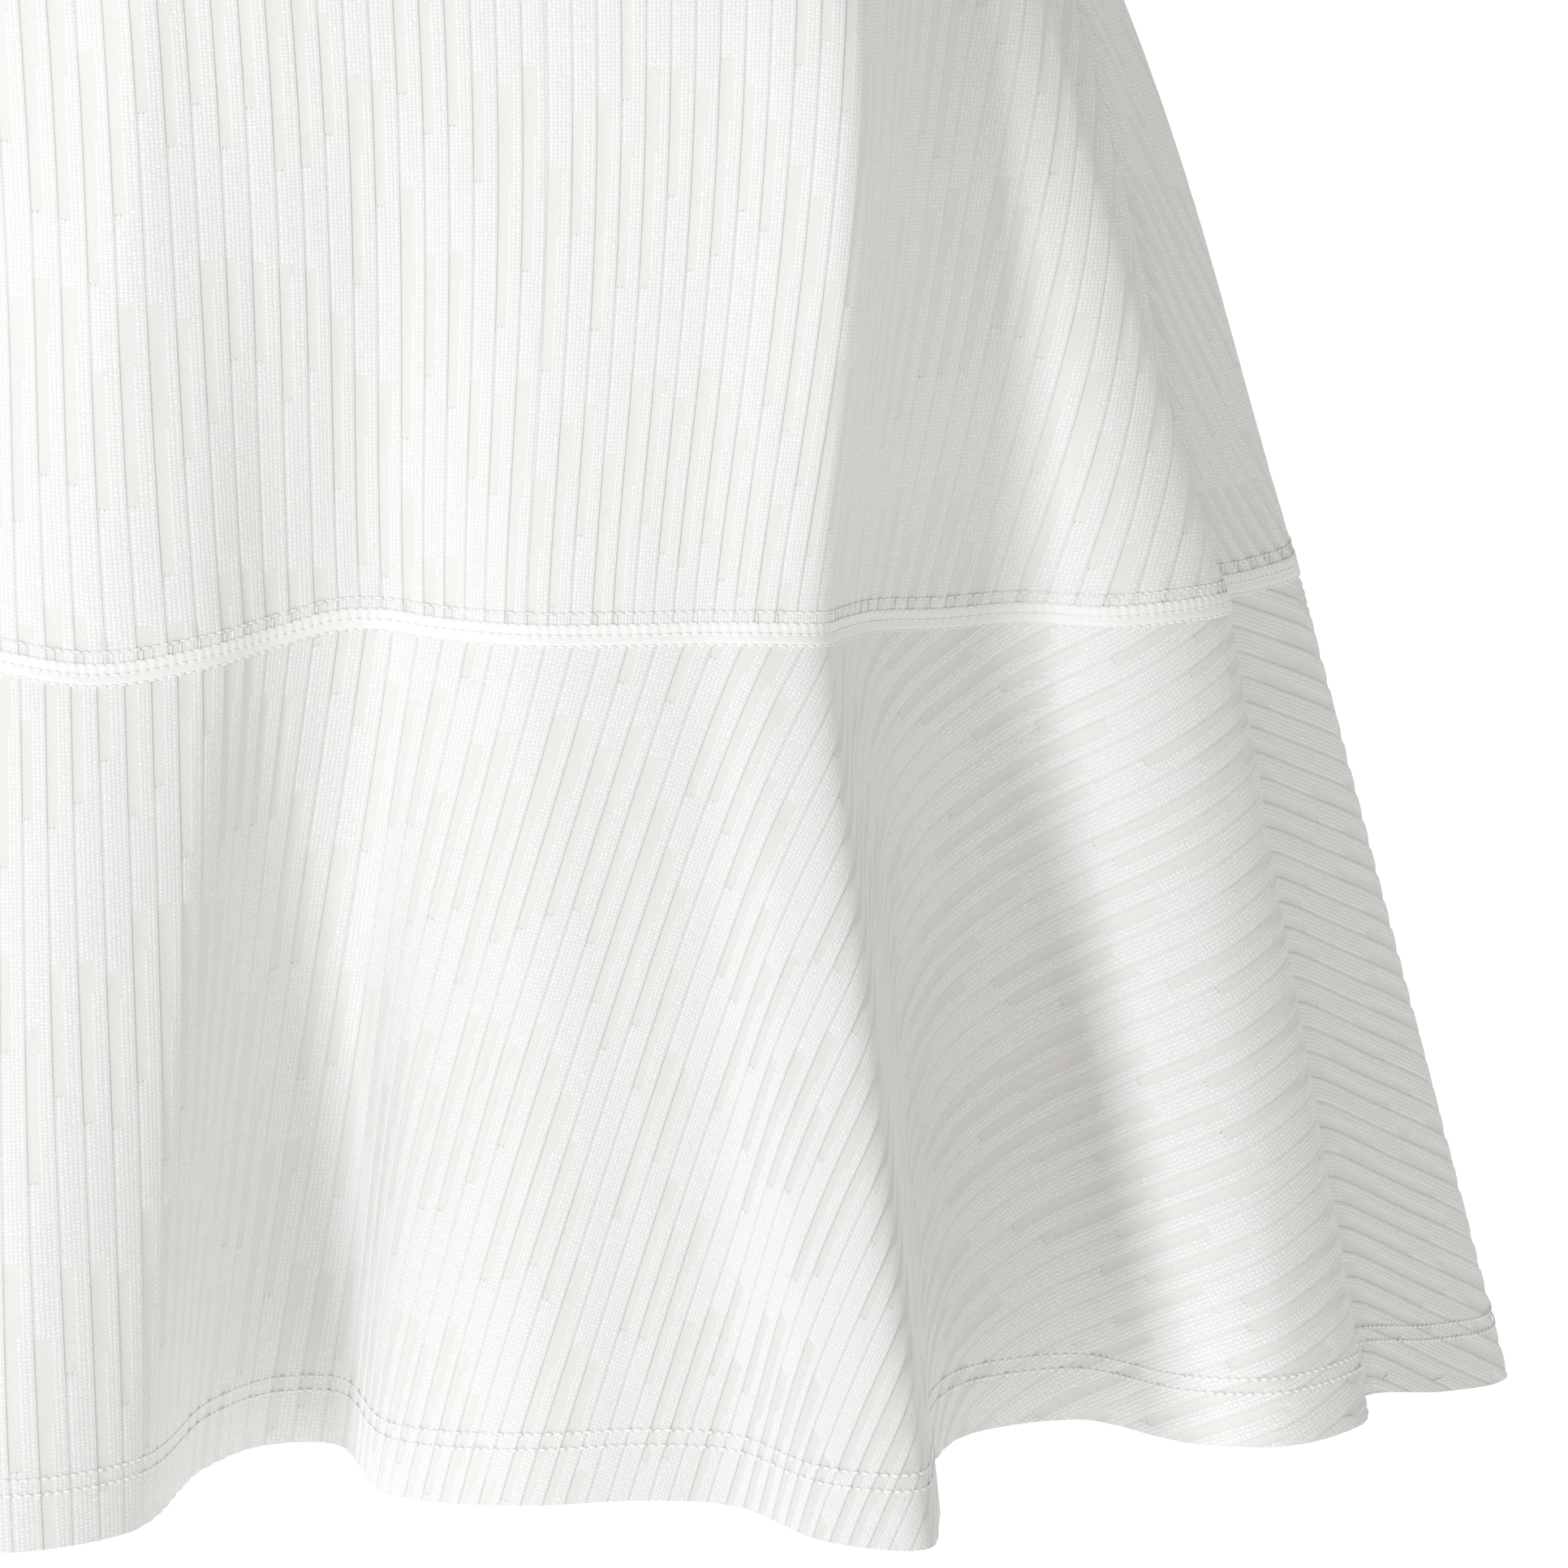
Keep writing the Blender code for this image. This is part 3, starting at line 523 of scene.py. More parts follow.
STITCH_WIDTH = 0.95 * MM          # one wale of the tuck stitches, six to a rib
STITCH_HEIGHT = 0.84 * MM
COURSE_SHARE = 0.85               # of a pebble's height is lost between two courses
TWILL_PITCH = 0.5 * MM
TWILL_SLOPE = 0.8                 # how far its lines fall for each step across
PEBBLE_HEIGHT = 0.09 * MM
TWILL_HEIGHT = 0.05 * MM
YARN_GRAIN = 1.1 * MM             # size of the yarn's thick and thin places
YARN_HEIGHT = 0.08 * MM
STITCH_STRAY = 0.8 * MM           # how far a stitch strays from its place
GAP_HEIGHT, PEBBLE_TOP = 0.2, 0.8     # of a pebble, where the painted shade of its gaps fades out and is gone
STEP_SHADE = 0.7                  # strength of the painted shadow at the foot of a step, 1 is the full shadow colour
STEP_SHADE_WIDTH = 0.09           # of a rib
HOLE_REACH = 0.3 * MM             # above and below the place where a strip closes
HOLE_WIDTH = 0.22                 # how high a pebble stands beside a pinhole, which sets its width
HOLE_ZONE = 0.32                  # of a rib, from the foot of its step, where the pinholes are
KNIT_COLOUR = "#F5F4F4"
GAP_SHADE_COLOUR = "#E8E7E6"            # painted shade between the pebbles
TWILL_COLOUR = "#F3F2F1"
GROOVE_SHADE_COLOUR = "#E1E0DE"         # painted shade between two lines of the twill
# painted shadow at the foot of each step
STEP_SHADOW_COLOUR = "#D7D6D4"
# painted shade in the pinholes where a strip closes
PINHOLE_SHADE_COLOUR = "#BDBBB8"


def ribbed_knit():
    """Polyester double knit: matt and chalky, with the pebbled ribs and twill strips standing
    out by their own small shadows and by painted shade in their gaps, grooves and pinholes and
    painted shadow at each step, and a little sheen where it turns away from the eye."""
    material, tree, shader = start_material("ribbed_double_knit", {
        "Roughness": 0.82, "IOR": 1.5, "Specular IOR Level": 0.25, "Sheen Weight": 0.12,
        "Sheen Roughness": 0.5})
    cut = node(tree, "ShaderNodeUVMap", uv_map="cut")
    flat = node(tree, "ShaderNodeSeparateXYZ", {0: cut})
    across, down = flat.outputs[0], flat.outputs[1]

    # Where on its rib, and in which block of it, a point lies
    place = node(tree, "ShaderNodeMath", {0: across, 1: 1 / RIB}, operation="MULTIPLY")
    rib = node(tree, "ShaderNodeMath", {0: place}, operation="FLOOR")
    within = node(tree, "ShaderNodeMath", {0: place}, operation="FRACT")
    turn = node(tree, "ShaderNodeMath", {0: rib, 1: WANDER_TURN}, operation="MULTIPLY")
    swing = node(tree, "ShaderNodeMath", {0: turn}, operation="SINE")
    clusters = node(tree, "ShaderNodeMath", {0: rib, 1: 1 / CLUSTER}, operation="MULTIPLY")
    cluster = node(tree, "ShaderNodeMath", {0: clusters}, operation="FLOOR")
    climb = node(tree, "ShaderNodeMath", {0: cluster, 1: CLUSTER_CLIMB}, operation="MULTIPLY")
    slow_turn = node(tree, "ShaderNodeMath", {0: rib, 1: DRIFT_TURN}, operation="MULTIPLY")
    slow = node(tree, "ShaderNodeMath", {0: slow_turn}, operation="SINE")
    drift = node(tree, "ShaderNodeMath", {0: slow, 1: BLOCK_DRIFT, 2: climb},
                 operation="MULTIPLY_ADD")
    shift = node(tree, "ShaderNodeMath", {0: swing, 1: BLOCK_WANDER, 2: drift},
                 operation="MULTIPLY_ADD")
    block = node(tree, "ShaderNodeMath", {0: down, 1: 1 / BLOCK, 2: shift},
                 operation="MULTIPLY_ADD")
    phase = node(tree, "ShaderNodeMath", {0: block}, operation="FRACT")
    number = node(tree, "ShaderNodeMath", {0: block}, operation="FLOOR")
    chance_turn = node(tree, "ShaderNodeMath", {0: number, 1: CHANCE_TURN, 2: turn},
                       operation="MULTIPLY_ADD")
    chance_wave = node(tree, "ShaderNodeMath", {0: chance_turn}, operation="SINE")
    scaled = node(tree, "ShaderNodeMath", {0: chance_wave, 1: CHANCE_SCALE}, operation="MULTIPLY")
    chance = node(tree, "ShaderNodeMath", {0: scaled}, operation="FRACT")
    open_to = node(tree, "ShaderNodeMath", {0: chance, 1: OPEN_SPREAD, 2: OPEN_SHARE},
                   operation="MULTIPLY_ADD")
    is_open = node(tree, "ShaderNodeMath", {0: phase, 1: open_to}, operation="LESS_THAN")
    wide_to = node(tree, "ShaderNodeMath", {0: chance, 1: WIDE_SPREAD, 2: WIDE_SHARE},
                   operation="MULTIPLY_ADD")
    is_wide = node(tree, "ShaderNodeMath", {0: phase, 1: wide_to}, operation="LESS_THAN")
    width = node(tree, "ShaderNodeMath", {0: is_wide, 1: WIDE_WIDTH - OPEN_WIDTH, 2: OPEN_WIDTH},
                 operation="MULTIPLY_ADD")
    in_strip = node(tree, "ShaderNodeMath", {0: within, 1: width}, operation="LESS_THAN")
    twilled = node(tree, "ShaderNodeMath", {0: in_strip, 1: is_open}, operation="MULTIPLY")

    # Yarn that is never quite even, which also pushes the stitches out of line
    noise = node(tree, "ShaderNodeTexNoise", {"Vector": cut, "Scale": 1 / YARN_GRAIN,
                                              "Detail": 2.0, "Roughness": 0.6})
    strays = node(tree, "ShaderNodeSeparateColor", {0: noise.outputs["Color"]})
    aside = node(tree, "ShaderNodeMath", {0: strays.outputs[0], 1: STITCH_STRAY, 2: across},
                 operation="MULTIPLY_ADD")
    below = node(tree, "ShaderNodeMath", {0: strays.outputs[1], 1: 2 * STITCH_STRAY, 2: down},
                 operation="MULTIPLY_ADD")

    # Tuck stitches on the rib: rounded pebbles in upright wales
    wale = ridges(tree, aside, STITCH_WIDTH)
    course = ridges(tree, below, STITCH_HEIGHT)
    course_part = node(tree, "ShaderNodeMath", {0: course, 1: COURSE_SHARE, 2: 1 - COURSE_SHARE},
                       operation="MULTIPLY_ADD")
    pebble = node(tree, "ShaderNodeMath", {0: wale, 1: course_part}, operation="MULTIPLY")

    # Fine twill lines in the strip, falling to the right
    slant = node(tree, "ShaderNodeMath", {0: across, 1: -TWILL_SLOPE, 2: down},
                 operation="MULTIPLY_ADD")
    lines = node(tree, "ShaderNodeMath", {0: slant, 1: math.tau / TWILL_PITCH},
                 operation="MULTIPLY")
    line_wave = node(tree, "ShaderNodeMath", {0: lines}, operation="SINE")
    line_round = node(tree, "ShaderNodeMath", {0: line_wave, 1: 0.5, 2: 0.5},
                      operation="MULTIPLY_ADD")

    pebble_height = node(tree, "ShaderNodeMath", {0: pebble, 1: PEBBLE_HEIGHT},
                         operation="MULTIPLY")
    line_height = node(tree, "ShaderNodeMath", {0: line_round, 1: TWILL_HEIGHT},
                       operation="MULTIPLY")
    height = node(tree, "ShaderNodeMix", {0: twilled, 2: pebble_height, 3: line_height})
    uneven = node(tree, "ShaderNodeMath", {0: strays.outputs[2], 1: YARN_HEIGHT, 2: height},
                  operation="MULTIPLY_ADD")
    bump = node(tree, "ShaderNodeBump", {"Height": uneven, "Strength": 1.0, "Distance": 1.0})

    # Colour: white pebbles with painted shade in their gaps, a twill a little greyer with painted
    # shade in its grooves, and a painted shadow at each step
    twill = node(tree, "ShaderNodeMix", {0: line_round, 6: linear(GROOVE_SHADE_COLOUR),
                                         7: linear(TWILL_COLOUR)}, data_type="RGBA")
    # Painted shade in the gaps between the pebbles, by the pebbles' height
    gap_shade = node(tree, "ShaderNodeMapRange", {"Value": pebble, "From Min": GAP_HEIGHT,
                                            "From Max": PEBBLE_TOP, "To Min": 1.0, "To Max": 0.0})
    tuck = node(tree, "ShaderNodeMix", {0: gap_shade, 6: linear(KNIT_COLOUR), 7: linear(GAP_SHADE_COLOUR)},
                data_type="RGBA")
    tint = node(tree, "ShaderNodeMix", {0: twilled, 6: tuck.outputs[2], 7: twill.outputs[2]},
                data_type="RGBA")
    # Painted shadow at the foot of each step
    step_shadow = node(tree, "ShaderNodeMapRange", {"Value": within, "From Min": 0.0,
                                             "From Max": STEP_SHADE_WIDTH,
                                             "To Min": STEP_SHADE, "To Max": 0.0})
    shaded = node(tree, "ShaderNodeMix", {0: step_shadow, 6: tint.outputs[2], 7: linear(STEP_SHADOW_COLOUR)},
                  data_type="RGBA")

    # Painted shade in the pinholes between the wales beside the step, where a strip closes
    past = node(tree, "ShaderNodeMath", {0: phase, 1: open_to}, operation="SUBTRACT")
    off = node(tree, "ShaderNodeMath", {0: past}, operation="ABSOLUTE")
    at_end = node(tree, "ShaderNodeMath", {0: off, 1: HOLE_REACH / BLOCK}, operation="LESS_THAN")
    between = node(tree, "ShaderNodeMath", {0: wale, 1: HOLE_WIDTH}, operation="LESS_THAN")
    ending = node(tree, "ShaderNodeMath", {0: at_end, 1: between}, operation="MULTIPLY")
    near_step = node(tree, "ShaderNodeMath", {0: within, 1: HOLE_ZONE}, operation="LESS_THAN")
    pinhole_shade = node(tree, "ShaderNodeMath", {0: ending, 1: near_step}, operation="MULTIPLY")
    pierced = node(tree, "ShaderNodeMix", {0: pinhole_shade, 6: shaded.outputs[2], 7: linear(PINHOLE_SHADE_COLOUR)},
                   data_type="RGBA")

    tree.links.new(pierced.outputs[2], shader.inputs["Base Color"])
    tree.links.new(bump.outputs[0], shader.inputs["Normal"])
    return material


EYE_HEIGHT = 0.12 * MM
INNER_COLOUR = "#EFEEED"


def inner_knit():
    """The back of the double knit: a flat birdseye of small stitches, duller than the face."""
    material, tree, shader = start_material("double_knit_back", {
        "Roughness": 0.9, "Specular IOR Level": 0.2})
    cut = node(tree, "ShaderNodeUVMap", uv_map="cut")
    flat = node(tree, "ShaderNodeSeparateXYZ", {0: cut})
    rising, falling = (
        node(tree, "ShaderNodeMath", {0: flat.outputs[0], 1: flat.outputs[1]}, operation=way)
        for way in ("ADD", "SUBTRACT"))
    eye = node(tree, "ShaderNodeMath", {0: ridges(tree, rising, STITCH_WIDTH),
                                        1: ridges(tree, falling, STITCH_WIDTH)},
               operation="MULTIPLY")
    height = node(tree, "ShaderNodeMath", {0: eye, 1: EYE_HEIGHT}, operation="MULTIPLY")
    bump = node(tree, "ShaderNodeBump", {"Height": height, "Strength": 1.0, "Distance": 1.0})
    tint = node(tree, "ShaderNodeMix", {0: eye, 6: linear(TWILL_COLOUR), 7: linear(INNER_COLOUR)},
                data_type="RGBA")
    tree.links.new(tint.outputs[2], shader.inputs["Base Color"])
    tree.links.new(bump.outputs[0], shader.inputs["Normal"])
    return material


face_knit = ribbed_knit()
back_knit = inner_knit()


def add_piece(name, mesh, materials, slot=None, *nodes):
    """Put a mesh in the scene as a piece of the dress that stands for the given nodes."""
    piece = bpy.data.objects.new(name, mesh)
    for material in materials:
        mesh.materials.append(material)
    bpy.context.scene.collection.objects.link(piece)
    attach(piece, "root")
    if nodes:
        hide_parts(*nodes)
    return piece


front_mesh, front_area = panel_cloth("front_panel_cloth", front, FRONT_NECK_DEPTH, FRONT_SCOOP,
                                     SWING)
front_panel = add_piece("front_panel_cloth", front_mesh, (face_knit, back_knit), "panel_knit",
                        "front_panel")
PANEL_WIDTH = 2 * float(front.half_width(SEAM_DEPTH))

# ---------------------------------------------------------------------------------------
# Back panel
# The same knit and the same cut as the front, but for a higher neck and a flatter armhole.
# It is sewn to the front at the shoulders and down both sides.
# ---------------------------------------------------------------------------------------
BACK_NECK_DEPTH = 38 * MM
BACK_SCOOP = 8 * MM

# How far the back's ribs swing at the seam, as SWING gives it for the front (mm)
BACK_SWING = ((-1, 0), (-0.85, 13), (-0.6, 11), (-0.2, 2), (0.2, -2), (0.6, -9), (0.85, -11),
              (1, 0))

back_mesh, back_area = panel_cloth("back_panel_cloth", back, BACK_NECK_DEPTH, BACK_SCOOP,
                                   BACK_SWING)
back_panel = add_piece("back_panel_cloth", back_mesh, (face_knit, back_knit), "panel_knit",
                       "back_panel")

# ---------------------------------------------------------------------------------------
# Neck and armhole bands
# Each is a strip of fine one-by-one rib knit in polyester and elastane, folded double and sewn
# round the edge, so it stands 10 mm beyond the cut edge and hugs it in an even roll.
# ---------------------------------------------------------------------------------------
BAND_RIB = 1.1 * MM
BAND_STEP = 1.8 * MM              # along the band, from one row of points to the next
BAND_LOWERING = 0.6 * MM          # from the face of the cloth to the middle of the band
BAND_EVENING = 16                 # rounds of averaging that let it turn over a shoulder evenly
BAND_RIB_HEIGHT = 0.07 * MM
BAND_LOOP_SHARE = 0.12            # of that height, for each loop along a rib
BAND_COLOUR = "#F5F4F3"
# painted shade in the grooves between the band's ribs
BAND_GROOVE_SHADE_COLOUR = "#E2E1DF"

# Round the band: beyond the cut edge, and outwards from the middle of the band (mm)
BAND_SECTION = ((-1.4, 0.75), (0.9, 1.2), (4.5, 1.3), (8.0, 1.25), (9.6, 0.9), (10.2, 0.0),
                (9.6, -0.9), (8.0, -1.25), (4.5, -1.3), (0.9, -1.2), (-1.4, -0.75))


def rib_band_knit():
    """One-by-one rib: soft matt white with fine grooves across the band, and painted shade in the
    grooves between the ribs.
    """
    material, tree, shader = start_material("one_by_one_rib_knit", {
        "Roughness": 0.85, "Specular IOR Level": 0.22, "Sheen Weight": 0.1})
    cut = node(tree, "ShaderNodeUVMap", uv_map="cut")
    flat = node(tree, "ShaderNodeSeparateXYZ", {0: cut})
    ridge = ridges(tree, flat.outputs[0], BAND_RIB)
    loops = node(tree, "ShaderNodeMath", {0: flat.outputs[1], 1: math.tau / STITCH_HEIGHT},
                 operation="MULTIPLY")
    loop_wave = node(tree, "ShaderNodeMath", {0: loops}, operation="SINE")
    tall = node(tree, "ShaderNodeMath", {0: loop_wave, 1: BAND_LOOP_SHARE, 2: ridge},
                operation="MULTIPLY_ADD")
    height = node(tree, "ShaderNodeMath", {0: tall, 1: BAND_RIB_HEIGHT}, operation="MULTIPLY")
    bump = node(tree, "ShaderNodeBump", {"Height": height, "Strength": 1.0, "Distance": 1.0})
    tint = node(tree, "ShaderNodeMix", {0: ridge, 6: linear(BAND_GROOVE_SHADE_COLOUR),
                                        7: linear(BAND_COLOUR)}, data_type="RGBA")
    tree.links.new(tint.outputs[2], shader.inputs["Base Color"])
    tree.links.new(bump.outputs[0], shader.inputs["Normal"])
    return material


band_knit = rib_band_knit()


def band_mesh(name, runs):
    """A rolled strip round the edge that the runs of (sheet, across, depth) make, and its length."""
    places, outwards = [], []
    for sheet, across, depth in runs:
        place, outward = sheet.at(across / sheet.half_width(depth), depth, -BAND_LOWERING)
        places.append(place[:-1])
        outwards.append(outward[:-1])
    places, outwards = np.concatenate(places), np.concatenate(outwards)
    closed = np.r_[places, places[:1]], np.r_[outwards, outwards[:1]]
    arc = np.r_[0, np.cumsum(np.linalg.norm(np.diff(closed[0], axis=0), axis=1))]
    count = int(arc[-1] / BAND_STEP)
    along = np.linspace(0, arc[-1], count + 1)[:-1]
    places, outwards = (np.stack([np.interp(along, arc, side[:, axis]) for axis in range(3)], -1)
                        for side in closed)
    for _ in range(BAND_EVENING):
        outwards = (np.roll(outwards, 1, axis=0) + outwards + np.roll(outwards, -1, axis=0)) / 3
    outwards /= np.linalg.norm(outwards, axis=1, keepdims=True)
    beyond = np.cross(outwards, np.roll(places, -1, axis=0) - np.roll(places, 1, axis=0))
    beyond /= np.linalg.norm(beyond, axis=1, keepdims=True)
    section = np.array(BAND_SECTION) * MM
    points = (places[:, None] + beyond[:, None] * section[:, :1]
              + outwards[:, None] * section[:, 1:])
    sides = len(section)
    faces = [(k * sides + i, (k + 1) % count * sides + i,
              (k + 1) % count * sides + (i + 1) % sides, k * sides + (i + 1) % sides)
             for k in range(count) for i in range(sides)]
    mesh = bpy.data.meshes.new(name)
    mesh.from_pydata(points.reshape(-1, 3).tolist(), [], faces)
    round_section = np.r_[0, np.cumsum(np.hypot(*np.diff(np.r_[section, section[:1]], axis=0).T))]
    layer = mesh.uv_layers.new(name="cut")
    step = arc[-1] / count
    corners = [((k + further) * step, round_section[i + next_side])
               for k in range(count) for i in range(sides)
               for further, next_side in ((0, 0), (1, 0), (1, 1), (0, 1))]
    layer.uv.foreach_set("vector", np.array(corners, dtype=np.float32).ravel())
    mesh.shade_smooth()
    return mesh, float(arc[-1])


def over_centre(edge):
    """A whole edge from its half, from the -X end round to the +X end."""
    across, depth = edge
    return np.r_[-across, across[-2::-1]], np.r_[depth, depth[-2::-1]]


quarter = np.linspace(0, math.pi / 2, EDGE_POINTS)
front_neck, back_neck = (neck_edge(depth, quarter) for depth in (FRONT_NECK_DEPTH, BACK_NECK_DEPTH))
front_armhole = armhole_edge(front, FRONT_SCOOP, quarter)
back_armhole = armhole_edge(back, BACK_SCOOP, quarter)
BANDS = {
    "neck_band": [(front, *over_centre(front_neck)), (back, *over_centre(back_neck))],
    "armhole_band_left": [(front, front_armhole[0][::-1], front_armhole[1][::-1]),
                          (back, -back_armhole[0], back_armhole[1])],
    "armhole_band_right": [(front, -front_armhole[0], front_armhole[1]),
                           (back, back_armhole[0][::-1], back_armhole[1][::-1])],
}
for name, runs in BANDS.items():
    mesh, length = band_mesh(f"{name}_knit", runs)
    band = add_piece(f"{name}_knit", mesh, (band_knit,), "band_knit", name)

# ---------------------------------------------------------------------------------------
# Flounces, front and back
# Each is cut from the same knit as a curved strip with the ribs about upright at its middle, so
# they lean further and further towards its ends. Its inner edge is sewn to a panel, and the
# rest falls in folds down to a turned-up hem.
# ---------------------------------------------------------------------------------------
FLOUNCE_END_TURN = 78             # at both ends of the back, and at the front's -X end (degrees)

# How far each inner edge has turned (degrees), by the share of the way from the centre to a
# side seam
FRONT_CURVE = ((-1, -FLOUNCE_END_TURN), (-0.8, -66), (-0.55, -46), (-0.3, -27), (-0.1, -13),
               (0, -8), (0.1, -3), (0.2, 2), (0.3, 8), (0.4, 18), (0.47, 30), (0.53, 42),
               (0.6, 50), (0.68, 56), (0.78, 62), (0.88, 65), (1, 67))
BACK_CURVE = ((-1, -FLOUNCE_END_TURN), (1, FLOUNCE_END_TURN))
CURVE_POINTS = 2001
CURVE_SOFTENING = 90              # points of the curve that are evened out together
HALVINGS = 26                     # steps of the search for a rib's place
FLOUNCE_ROWS = 90
FLATLOCK_REACH = 2 * MM           # below the seam line, where it still presses the ribs
HEM_TURN_UP = 17 * MM
TURN_UP_EDGE = 2 * MM             # over which the turned-up layer begins
TURN_UP_THICKNESS = 0.8           # of the cloth's own, pressed as it is


def flounce_cloth(name, sheet, curve):
    """A flounce's wall, with its points in columns down the ribs, its flat size and its area."""
    shares = np.linspace(-1, 1, CURVE_POINTS)
    turns = np.radians(np.interp(shares, *zip(*curve)))
    padded = np.pad(turns, CURVE_SOFTENING, "reflect", reflect_type="odd")
    window = np.ones(CURVE_SOFTENING) / CURVE_SOFTENING
    turns = np.convolve(padded, window, "same")[CURVE_SOFTENING:-CURVE_SOFTENING]
    step = sheet.half_width(SEAM_DEPTH) * (shares[1] - shares[0])
    edge_across = np.cumsum(np.cos(turns)) * step
    edge_across -= edge_across[CURVE_POINTS // 2]
    edge_down = -np.cumsum(np.sin(turns)) * step
    edge_down -= edge_down[CURVE_POINTS // 2]

    def flat(u, below):
        """Place on the flat cloth, below the inner edge by so much."""
        turn = np.interp(u, shares, turns)
        return (np.interp(u, shares, edge_across) + below * np.sin(turn),
                np.interp(u, shares, edge_down) + below * np.cos(turn))

    first, last = flat(np.array([-1, 1]), FLOUNCE_LENGTH)[0]
    columns = np.clip(rib_columns(max(-first, last)), first, last)
    meet_corners(columns, edge_across[[0, -1]])
    top = np.maximum((columns - edge_across[-1]) / math.sin(turns[-1]), 0)
    top = np.maximum((columns - edge_across[0]) / math.sin(turns[0]), top)
    below = top + (FLOUNCE_LENGTH - top) * np.linspace(0, 1, FLOUNCE_ROWS + 1)[:, None]
    low, high = np.full(below.shape, -1.0), np.full(below.shape, 1.0)
    for _ in range(HALVINGS):
        u = (low + high) / 2
        short = flat(u, below)[0] < columns
        low, high = np.where(short, u, low), np.where(short, high, u)
    across, down = flat(u, below)
    depth = SEAM_DEPTH + below
    dip = side_seam(sheet, u, depth)
    pressed = np.where(below > FLATLOCK_REACH, 1, PRESSED)
    outer, _ = sheet.at(u, depth, rib_relief(across, down) * pressed + dip)
    chosen = np.s_[:, ::len(RIB_POINTS)]
    doubled = np.clip((HEM_TURN_UP - (FLOUNCE_LENGTH - below)) / TURN_UP_EDGE, 0, 1)
    thickness = KNIT_THICKNESS * (1 + TURN_UP_THICKNESS * doubled)
    inner, _ = sheet.at(u[chosen], depth[chosen], (dip - thickness)[chosen])
    cut = np.stack([across, down], -1)
    return (wall_mesh(name, outer, cut, inner, cut[chosen]),
            tuple(float(np.ptp(side)) for side in (across, down)), flat_area(cut))


for side, sheet, curve in (("front", front, FRONT_CURVE), ("back", back, BACK_CURVE)):
    name = f"{side}_flounce_cloth"
    mesh, flat_size, area = flounce_cloth(name, sheet, curve)
    flounce = add_piece(name, mesh, (face_knit, back_knit), "flounce_knit", f"{side}_flounce")

# ---------------------------------------------------------------------------------------
# Flatlock seams, panel to flounce
# The edges butt together under a band of soft spun polyester thread: four rows of stitches
# 2.1 mm long, the lower three over a close cover of looper threads, and open squares of knit
# between the upper two.
# ---------------------------------------------------------------------------------------
STITCH_LENGTH = 2.1 * MM
SEWN_SHARE = 0.998                # of a sheet's width, clear of the side seams
FLATLOCK_ROWS = (-3.7 * MM, -1.2 * MM, 1.0 * MM, 3.4 * MM)      # below the seam line
FLATLOCK_FILL = 0.8               # of a stitch's length shows as thread
FLATLOCK_RADIUS, FLATLOCK_ARCH = 0.28 * MM, 0.08 * MM
BAR_RADIUS, BAR_ARCH = 0.18 * MM, -0.06 * MM      # the threads between the upper two rows
THREAD_SIDES = 5
THREAD_RINGS = ((0, 0.7), (0.3, 1), (0.7, 1), (1, 0.7))   # along a stitch, and share of its radius
THREAD_FLATNESS = 0.6             # its height over its width, pressed as it is
FUZZ_GRAIN, FUZZ_HEIGHT = 0.35 * MM, 0.06 * MM
THREAD_COLOUR = "#F3F2F1"

# Section of the looper cover: below the seam line, and above the cloth (mm)
COVER_LIFTS = ((-1.5, -0.5), (-1.2, 0.04), (-0.7, 0.10), (-0.1, 0.12), (0.6, 0.10), (1.1, 0.05),
               (1.5, 0.10), (2.2, 0.18), (2.9, 0.14), (3.4, 0.04), (3.7, -0.5))
COVER_WAVE = 0.10 * MM
COVER_POINTS = 4                  # along each stitch
CORD_DEPTH = 1.1 * MM             # below it the cover is a smooth cord


def spun_thread():
    """Spun polyester sewing thread: a soft white, about as light as the knit, with fine fuzz."""
    material, tree, shader = start_material("spun_polyester_thread", {
        "Base Color": linear(THREAD_COLOUR), "Roughness": 0.75, "IOR": 1.5,
        "Specular IOR Level": 0.3, "Sheen Weight": 0.15})
    place = node(tree, "ShaderNodeTexCoord")
    fuzz = node(tree, "ShaderNodeTexNoise", {"Vector": place.outputs["Object"],
                                             "Scale": 1 / FUZZ_GRAIN, "Detail": 3.0})
    height = node(tree, "ShaderNodeMath", {0: fuzz, 1: FUZZ_HEIGHT}, operation="MULTIPLY")
    bump = node(tree, "ShaderNodeBump", {"Height": height, "Strength": 1.0, "Distance": 1.0})
    tree.links.new(bump.outputs[0], shader.inputs["Normal"])
    return material


thread = spun_thread()


